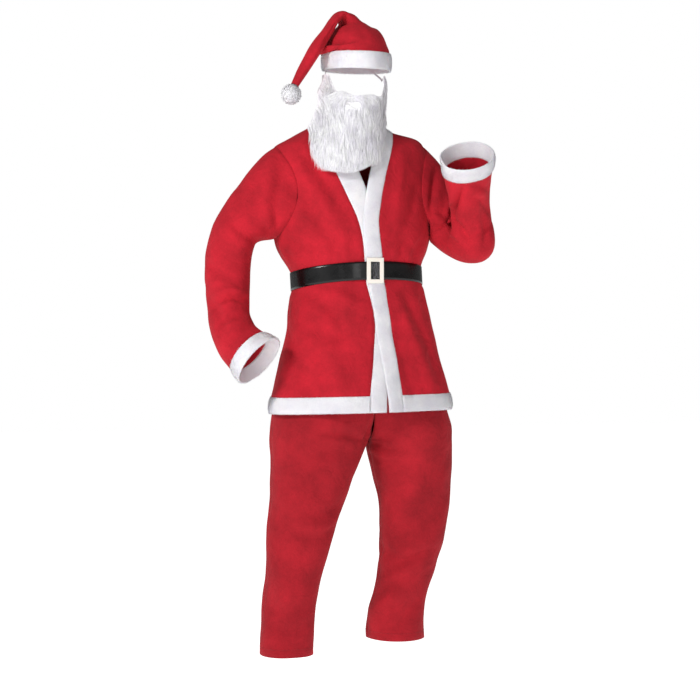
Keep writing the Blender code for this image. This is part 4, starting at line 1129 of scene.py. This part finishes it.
rows = [between((QUARTER, level), (3 * QUARTER, level), 2 * SHOULDER_COLUMNS + NECK_COLUMNS)
        for level in hem_levels]
sewn_piece("hem_band_back", torso, rows, FLEECE, trim, "fleece", out=band_off(0), plump=HEM_FULLNESS)

# Sleeves and cuffs

for side, word, arm, table in ((-1, "right", HangingArm(RIGHT_ARM), RIGHT_SLEEVE),
                               (1, "left", RaisedArm(*LEFT_ARM), LEFT_SLEEVE)):
    surface = sleeve_surface(side, arm, table)
    turns = [side * math.pi * column / ARMHOLE_STEPS for column in range(2 * ARMHOLE_STEPS)]
    cuff_start = 1 - BAND / arm.length
    rows = [[(turn, cuff_start * row / SLEEVE_STEPS) for turn in turns] for row in range(SLEEVE_STEPS + 1)]
    sewn_piece("sleeve_" + word, surface, rows, FELT, jacket_felt, "jacket_felt", closed=True, v_step=0.004,
               sense=side)
    rows = [[(turn, cuff_start + (1 - cuff_start) * row / BAND_COLUMNS) for turn in turns]
            for row in range(BAND_COLUMNS + 1)]
    sewn_piece("cuff_" + word, surface, rows, FLEECE, trim, "fleece", out=lambda u, v: CUFF_LIFT, closed=True,
               v_step=0.004, sense=side, plump=HEM_FULLNESS)

# Belt: the strap lies smooth over the folds it presses down, and its ends meet behind the buckle

start = front_angle(BUCKLE_ACROSS, WAIST)
rows = [[(start + 2 * math.pi * column / BELT_COLUMNS, WAIST + BELT_HEIGHT * (0.5 - down / 8))
         for column in range(BELT_COLUMNS + 1)] for down in range(9)]
sewn_piece("belt", torso, rows, VINYL, black, "belt_vinyl", out=belt_stand_off, folds=0.0)

# Trousers


def below_hem(points):
    """Folds fade out where the trousers lie inside the jacket."""
    return np.clip((JACKET_HEM - 0.010 - points[:, 2]) / 0.05, 0, 1)


def fine_leg_levels(table):
    """The solid's levels with three more between each two."""
    coarse = leg_levels(table)
    levels = []
    for high, low in zip(coarse, coarse[1:]):
        levels += [high + (low - high) * step / 4 for step in range(4)]
    return levels + [coarse[-1]]


for side, table, word in ((-1, RIGHT_LEG, "right"), (1, LEFT_LEG, "left")):
    for half, sign in (("front", 1), ("back", -1)):
        rows = [between((0.0, level), (sign * inner_turn(side, table, level), level), LEG_COLUMNS)
                for level in fine_leg_levels(table)]
        sewn_piece("trousers_" + half + "_" + word, leg_surface(side, table), rows, FELT, trouser_felt,
                   "trouser_felt", sense=-side, folds=below_hem)


def waist_ring(turn, level):
    """The left leg's outer half and its mirror image."""
    half = leg_surface(1, LEFT_LEG)
    point = half(turn, level)
    middle = LEFT_LEG.read("across", level)
    if math.cos(turn) >= 0:
        return point
    return Vector((2 * middle - half(math.pi - turn, level).x, point.y, level))


rows = [[(2 * math.pi * column / WAIST_COLUMNS, TROUSER_WAIST - WAISTBAND * down / 8)
         for column in range(WAIST_COLUMNS)] for down in range(9)]
sewn_piece("trousers_waistband", waist_ring, rows, FELT, trouser_felt, "trouser_felt", closed=True, sense=-1,
           folds=0.0)

# Stitches round the trouser hems

STITCH_RADIUS = 0.00045
STITCH_COUNT = 112        # round a trouser leg
STITCH_LENGTH = 0.7       # as a share of the distance from one to the next
HEM_TURNING = 0.022       # from the trouser hem up to its row of stitches


def stitches(name, surface, rows, sense, folds, finish_used):
    """A line of sewing stitches, each a short pointed twist of thread from one point of a pair to the next."""
    points, normals, _ = grid_points(surface, rows, sense, 0.002, None, None)
    points = points + normals * (fold_height(points, normals) * folds(points) + STITCH_RADIUS * 0.4)[:, None]
    verts, faces = [], []
    for start, end, normal in zip(points[0::2], points[1::2], normals[0::2]):
        side = np.cross(end - start, normal)
        side /= np.linalg.norm(side)
        base = len(verts)
        verts += [tuple(start), tuple(end)]
        for share in (0.2, 0.8):
            for corner in range(6):
                angle = corner * math.pi / 3
                verts.append(tuple(start + (end - start) * share
                                   + (side * math.cos(angle) + normal * math.sin(angle)) * STITCH_RADIUS))
        for corner in range(6):
            here, there = base + 2 + corner, base + 2 + (corner + 1) % 6
            faces += [(base, there, here), (here, there, there + 6, here + 6), (base + 1, here + 6, there + 6)]
    mesh = bpy.data.meshes.new(name)
    mesh.from_pydata(verts, [], faces)
    shape = bmesh.new()
    shape.from_mesh(mesh)
    bmesh.ops.recalc_face_normals(shape, faces=shape.faces)
    shape.to_mesh(mesh)
    shape.free()
    made = keep(name, mesh, finish_used)
    return made


for side, table, word in ((-1, RIGHT_LEG, "right"), (1, LEFT_LEG, "left")):
    level = table.rows[-1][0] + HEM_TURNING
    pairs = [(2 * math.pi * (step + gap) / STITCH_COUNT, level)
             for step in range(STITCH_COUNT) for gap in (0.0, STITCH_LENGTH)]
    stitches("trouser_hem_stitches_" + word, leg_surface(side, table), [pairs], -side,
                                  below_hem, red_thread)

# Hat

BAND_START = -0.0003      # the band's upper edge, just below the crown's lower one
turns = [2 * math.pi * column / HAT_COLUMNS for column in range(HAT_COLUMNS)]
rows = [[(turn, step / HAT_STEPS) for turn in turns] for step in range(11 * HAT_STEPS + 1)]
sewn_piece("hat_crown", hat_surface, rows, FELT, jacket_felt, "jacket_felt", closed=True, v_step=0.01,
           folds=0.5)
hat_top = HAT.rows[0][3]
rows = [[(turn, BAND_START + (HAT_BAND[0] - hat_top - BAND_START) * down / BAND_COLUMNS) for turn in turns]
        for down in range(BAND_COLUMNS + 1)]
sewn_piece("hat_band", hat_surface, rows, FLEECE, trim, "fleece", out=lambda u, v: 0.0015, closed=True,
           v_step=0.001, folds=0.5, plump=HEM_FULLNESS)

# Pompom: a small ball inside curling tufts

bpy.ops.object.select_all(action="DESELECT")
bpy.ops.mesh.primitive_ico_sphere_add(subdivisions=4, radius=POMPOM_RADIUS - 0.0050, location=POMPOM_CENTRE)
bpy.ops.object.transform_apply(location=True, rotation=True, scale=True)
ball = bpy.context.object
ball.name = "hat_pompom_core"
ball.data.materials.append(pom)
ball.data.shade_smooth()
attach(ball, "root")
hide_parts("hat_pompom")

chance = np.random.default_rng(11)
count = 14000
outward = unit(chance.normal(0, 1, (count, 3)))
tuft = 1 + 0.9 * np.sin(outward @ np.array((19.0, 3.0, 7.0))) * np.sin(outward @ np.array((-5.0, 17.0, 9.0)))
reach = (chance.uniform(0.0030, 0.0048, count) * tuft)[:, None]
middle = np.array(POMPOM_CENTRE)
root = middle + outward * (POMPOM_RADIUS - 0.0054)
curl = np.cross(outward, unit(chance.normal(0, 1, (count, 3)))) * chance.uniform(0.003, 0.006, count)[:, None]
paths = np.stack([root, root + outward * reach * 0.7 + curl * 0.45, root + outward * reach + curl], 1)
tufts = fibres("hat_pompom_pile", paths, outward, np.full(count, 0.0012), pom, 12, 0.92)

# Beard: a felt-backed base under brushed fur


def beard_grid(columns):
    """Rows of (across, level) from the face opening down to the tips."""
    shares = []
    for high, low in zip(BEARD_ROWS, BEARD_ROWS[1:]):
        shares += [high + (low - high) * step / BEARD_STEPS for step in range(BEARD_STEPS)]
    shares.append(1.0)
    bottom_left = (BEARD_LEFT.rows[-1][1], BEARD_LEFT.rows[-1][0])
    bottom_right = (BEARD_RIGHT.rows[-1][1], BEARD_RIGHT.rows[-1][0])
    left, right = [], []
    for down in shares:
        level = BEARD_TOP + (bottom_left[1] - BEARD_TOP) * down
        left.append((BEARD_LEFT.read("across", level), level))
        level = BEARD_TOP + (bottom_right[1] - BEARD_TOP) * down
        right.append((BEARD_RIGHT.read("across", level), level))
    top, bottom = [], []
    for column in range(columns + 1):
        over = column / columns
        top.append((FACE_EDGE.read("across", over), FACE_EDGE.read("level", over)))
        bottom.append((bottom_left[0] + (bottom_right[0] - bottom_left[0]) * over,
                       bottom_left[1] + (bottom_right[1] - bottom_left[1]) * over
                       - BEARD_SAG * math.sin(math.pi * over)))
    return patch(top, bottom, left, right, shares)


flat = beard_grid(BEARD_COLUMNS)
rows = [[(beard_angle(x, z), z) for x, z in row] for row in flat]
i = BEARD_STEPS * MOUTH_ROW + 1
skip = {(i, j) for j in range(BEARD_COLUMNS)
        if abs((flat[i][j][0] + flat[i + 1][j + 1][0]) / 2 - MOUTH_ACROSS) < MOUTH_HALF_WIDTH}


def base_lift(angle, level):
    """Height of the base under the strands: about half of the locks, fuller on the lip."""
    return (0.45 + 0.45 * math.exp(-((level - 0.072) / 0.020) ** 2)) * beard_locks(angle, level) - 0.003


beard = sewn_piece("beard", beard_surface, rows, BEARD_THICK - 0.003, fur, "beard_fur", skip=skip,
                   raised=base_lift, folds=0.0)
mouth = [flat[i + down][j] for i, j in skip for down in (0, 1)]
mouth_low, mouth_high = min(z for x, z in mouth), max(z for x, z in mouth)
mouth_left, mouth_right = min(x for x, z in mouth), max(x for x, z in mouth)
edge_across = [x for x, z in reversed(flat[-1])]
edge_level = [z for x, z in reversed(flat[-1])]
LIP_TOP = 0.098
LIP_MIDDLE = -0.026       # across, where the moustache parts
LIP_HALF_WIDTH = 0.062
FULL_AREA = 1.6e-5        # grid cells of this area take every strand and smaller ones fewer, to be even


def beard_flow(x, z):
    """Which way the fur is brushed at a place: sideways from the middle of the lip, and down elsewhere."""
    lip = math.exp(-((z - 0.074) / 0.020) ** 2) * ease((0.075 - abs(x + 0.024)) / 0.03)
    sideways = (1.0 if x > LIP_MIDDLE else -1.0) * (0.5 + 0.5 * ease(abs(x - LIP_MIDDLE) / 0.006))
    fan = 0.7 * (x - 0.002) * ease((0.10 - z) / 0.12)
    wave = (0.13 * math.sin(61 * x + 19 * z) + 0.09 * math.sin(-97 * x + 43 * z + 1.3)
            + 0.05 * math.sin(171 * x - 71 * z))
    return lip * sideways + (1 - lip) * (fan + wave), -(1 - 0.72 * lip)


def brush(count, seed, moustache=False):
    """Strands rooted evenly over the beard, or over the lip alone, each led along the brushed flow."""
    chance = np.random.default_rng(seed)
    paths, normals, widths = [], [], []
    height, width = len(flat), len(flat[0])
    while len(paths) < count:
        i, j = chance.integers(0, height - 1), chance.integers(0, width - 1)
        if (i, j) in skip:
            continue
        a, b = chance.random(2)
        corner = [flat[i][j], flat[i][j + 1], flat[i + 1][j], flat[i + 1][j + 1]]
        weight = ((1 - a) * (1 - b), (1 - a) * b, a * (1 - b), a * b)
        x = sum(w * p[0] for w, p in zip(weight, corner))
        z = sum(w * p[1] for w, p in zip(weight, corner))
        area = abs((corner[1][0] - corner[0][0]) * (corner[2][1] - corner[0][1]))
        if chance.random() > area / FULL_AREA:
            continue
        lip = mouth_high < z < LIP_TOP and abs(x - LIP_MIDDLE) < LIP_HALF_WIDTH
        if moustache and not lip:
            continue
        room = z - np.interp(x, edge_across, edge_level)
        reach = chance.uniform(0.028, 0.046) * (0.7 + 0.3 * ease((0.1 - z) / 0.1))
        if lip:
            reach = chance.uniform(0.018, 0.028)
        else:
            reach = min(reach, max(0.009, room + chance.uniform(0.0, 0.009)))
        lean = chance.normal(0, 0.10)
        top = chance.uniform(0.003, 0.009) if lip else chance.uniform(0.0005, 0.0045)
        path, blocked = [], False
        for ring in range(4):
            share = ring / 3
            if mouth_left < x < mouth_right and mouth_low < z < mouth_high:
                if ring == 0 or z < mouth_low + 0.003:
                    blocked = True
                z = mouth_high + 0.0004 * ring
            angle = beard_angle(x, z)
            normal = normal_at(beard_surface, angle, z)
            lift = base_lift(angle, z) + top * math.sin(math.pi * (0.12 + 0.62 * share)) - 0.0006 * (1 - share)
            path.append(beard_surface(angle, z) + normal * lift)
            if ring == 0:
                first_normal = normal
            along, down = beard_flow(x, z)
            size = math.hypot(along + lean, down)
            x += (along + lean) / size * reach / 3 * math.cos(angle) ** 0.3
            z += down / size * reach / 3
        if blocked:
            continue
        paths.append([tuple(point) for point in path])
        normals.append(tuple(first_normal))
        widths.append(chance.uniform(0.0007, 0.0013))
    return np.array(paths), np.array(normals), np.array(widths)


strands = fibres("beard_strands", *brush(22000, 21), fur, 22, 0.72)
lip_strands = fibres("beard_moustache_strands", *brush(3000, 23, moustache=True), fur, 24, 0.80)

# The beard's elastic, sewn inside its upper corners

tape_start, tape_sweep = math.radians(71), math.radians(214)


def tape_ring(angle, level):
    """Round the back of the head, inside the hat, and drawn in to the beard's inner side at both ends."""
    share = (angle - tape_start) / tape_sweep
    inside = ease((min(share, 1 - share) - 0.05) / 0.09)
    return Vector((0.010 + 0.009 * inside + (0.0871 - 0.0026 * inside) * math.sin(angle),
                   -0.012 - 0.005 * inside - (0.1040 - 0.002 * inside) * math.cos(angle), level))


rows = []
for down in range(7):
    row = []
    for step in range(TAPE_COLUMNS + 1):
        rise = ease((min(step, TAPE_COLUMNS - step) / TAPE_COLUMNS - 0.05) / 0.3)
        row.append((tape_start + tape_sweep * step / TAPE_COLUMNS,
                    0.1415 + 0.047 * rise + 0.003 * (1 - down / 3)))
    rows.append(row)
sewn_piece("beard_elastic", tape_ring, rows, 0.0012, tape, "elastic", folds=0.0)

# Short pile on the fleece: how many fibres each piece has

PILE_LENGTH = 0.0036
PILE_WIDTH = 0.0008
PILE = {"front_band_right": 34000, "front_band_left": 34000, "hem_band_right": 13000, "hem_band_left": 13000,
        "hem_band_back": 22000, "cuff_right": 16000, "cuff_left": 18000, "hat_band": 26000}
for index, (name, count) in enumerate(PILE.items()):
    made = fuzz(cloth_pieces[name], count, PILE_LENGTH, PILE_WIDTH, trim, 40 + 5 * index)

# Buckle

angle = front_angle(BUCKLE_ACROSS, WAIST)
normal = normal_at(torso, angle, WAIST)
seat = torso(angle, WAIST) + normal * (belt_stand_off(angle, WAIST) + 0.0012)
facing = Vector((normal.x, normal.y, 0)).normalized()
bpy.ops.object.select_all(action="DESELECT")
bpy.ops.mesh.primitive_cube_add(size=1.0, location=(0, 0, 0))
buckle = bpy.context.object
buckle.name = "belt_buckle_frame"
buckle.scale = (BUCKLE_SIZE[0], BUCKLE_SIZE[1], BUCKLE_THICK)
bpy.ops.object.transform_apply(location=True, rotation=True, scale=True)
bpy.ops.object.mode_set(mode="EDIT")
bpy.ops.mesh.select_all(action="DESELECT")
shape = bmesh.from_edit_mesh(buckle.data)
for edge in shape.edges:
    edge.select = abs(edge.verts[0].co.z - edge.verts[1].co.z) > 0.001
bmesh.update_edit_mesh(buckle.data)
bpy.ops.mesh.bevel(offset=0.006, segments=6, affect="EDGES")
bpy.ops.mesh.select_all(action="DESELECT")
shape = bmesh.from_edit_mesh(buckle.data)
for face in shape.faces:
    face.select = abs(face.normal.z) > 0.9
bmesh.update_edit_mesh(buckle.data)
bpy.ops.mesh.inset(thickness=BUCKLE_BAR, depth=0.0)
bpy.ops.mesh.bridge_edge_loops()
bpy.ops.object.mode_set(mode="OBJECT")
soft = buckle.modifiers.new("edges", "BEVEL")
soft.width = 0.0009
soft.segments = 4
soft.limit_method = "ANGLE"
soft.angle_limit = math.radians(40)
bpy.ops.object.modifier_apply(modifier="edges")
buckle.rotation_euler = (math.pi / 2, 0, math.atan2(facing.x, -facing.y))
buckle.location = seat + facing * BUCKLE_THICK / 2
bpy.ops.object.transform_apply(location=True, rotation=True, scale=True)
buckle.data.materials.append(plastic)
buckle.data.shade_smooth()
for edge in buckle.data.edges:
    edge.use_edge_sharp = False
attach(buckle, "root")
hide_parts("belt_buckle")

# Room, light and view

bpy.ops.object.select_all(action="DESELECT")
bpy.ops.mesh.primitive_plane_add(size=30.0, location=(0, 0, FLOOR))
floor = bpy.context.object
floor.name = "floor"
white_floor = Finish("plain pale floor", Base_Color=(0.92, 0.92, 0.92, 1), Roughness=1.0,
                     Specular_IOR_Level=0.0, Emission_Color=(1, 1, 1, 1), Emission_Strength=0.95)
floor.data.materials.append(white_floor.material)

# The room lights the suit softly, and the camera sees it white
world = bpy.data.worlds.new("white room")
world.use_nodes = True
room = world.node_tree.nodes["Background"]
room.inputs["Color"].default_value = (1, 1, 1, 1)
room.inputs["Strength"].default_value = 0.20
wall_seen = add(world.node_tree, "ShaderNodeBackground", in_Color=(1, 1, 1, 1), in_Strength=1.0)
seen = add(world.node_tree, "ShaderNodeLightPath").outputs["Is Camera Ray"]
mixed = add(world.node_tree, "ShaderNodeMixShader", {0: seen, 1: room.outputs[0], 2: wall_seen.outputs[0]})
world.node_tree.links.new(mixed.outputs[0], world.node_tree.nodes["World Output"].inputs["Surface"])
bpy.context.scene.world = world

RIGHT, BACK = Vector(VIEW_RIGHT), Vector(VIEW_BACK)


def lamp(name, across, level, away, size, power, target):
    """A square soft box that faces a point of the suit."""
    data = bpy.data.lights.new(name, "AREA")
    data.shape = "SQUARE"
    data.size = size
    data.energy = power
    made = bpy.data.objects.new(name, data)
    made.location = RIGHT * across + BACK * away + Vector((0, 0, level))
    made.rotation_euler = (Vector((0, 0, target)) - made.location).to_track_quat("-Z", "Y").to_euler()
    bpy.context.scene.collection.objects.link(made)


lamp("key", -2.2, 1.2, 2.9, 0.7, 98.0, -0.6)
lamp("fill", 1.2, 0.3, 3.8, 1.4, 20.0, -0.7)

camera = bpy.data.objects.new("camera", bpy.data.cameras.new("camera"))
camera.data.lens = 89.9
camera.data.sensor_width = 36.0
camera.data.shift_x = 0.0043
camera.location = BACK * VIEW_DISTANCE + Vector((0, 0, VIEW_HEIGHT))
camera.rotation_euler = (math.pi / 2, 0, VIEW_TURN)
bpy.context.scene.collection.objects.link(camera)
bpy.context.scene.camera = camera
bpy.context.scene.view_settings.view_transform = "Standard"
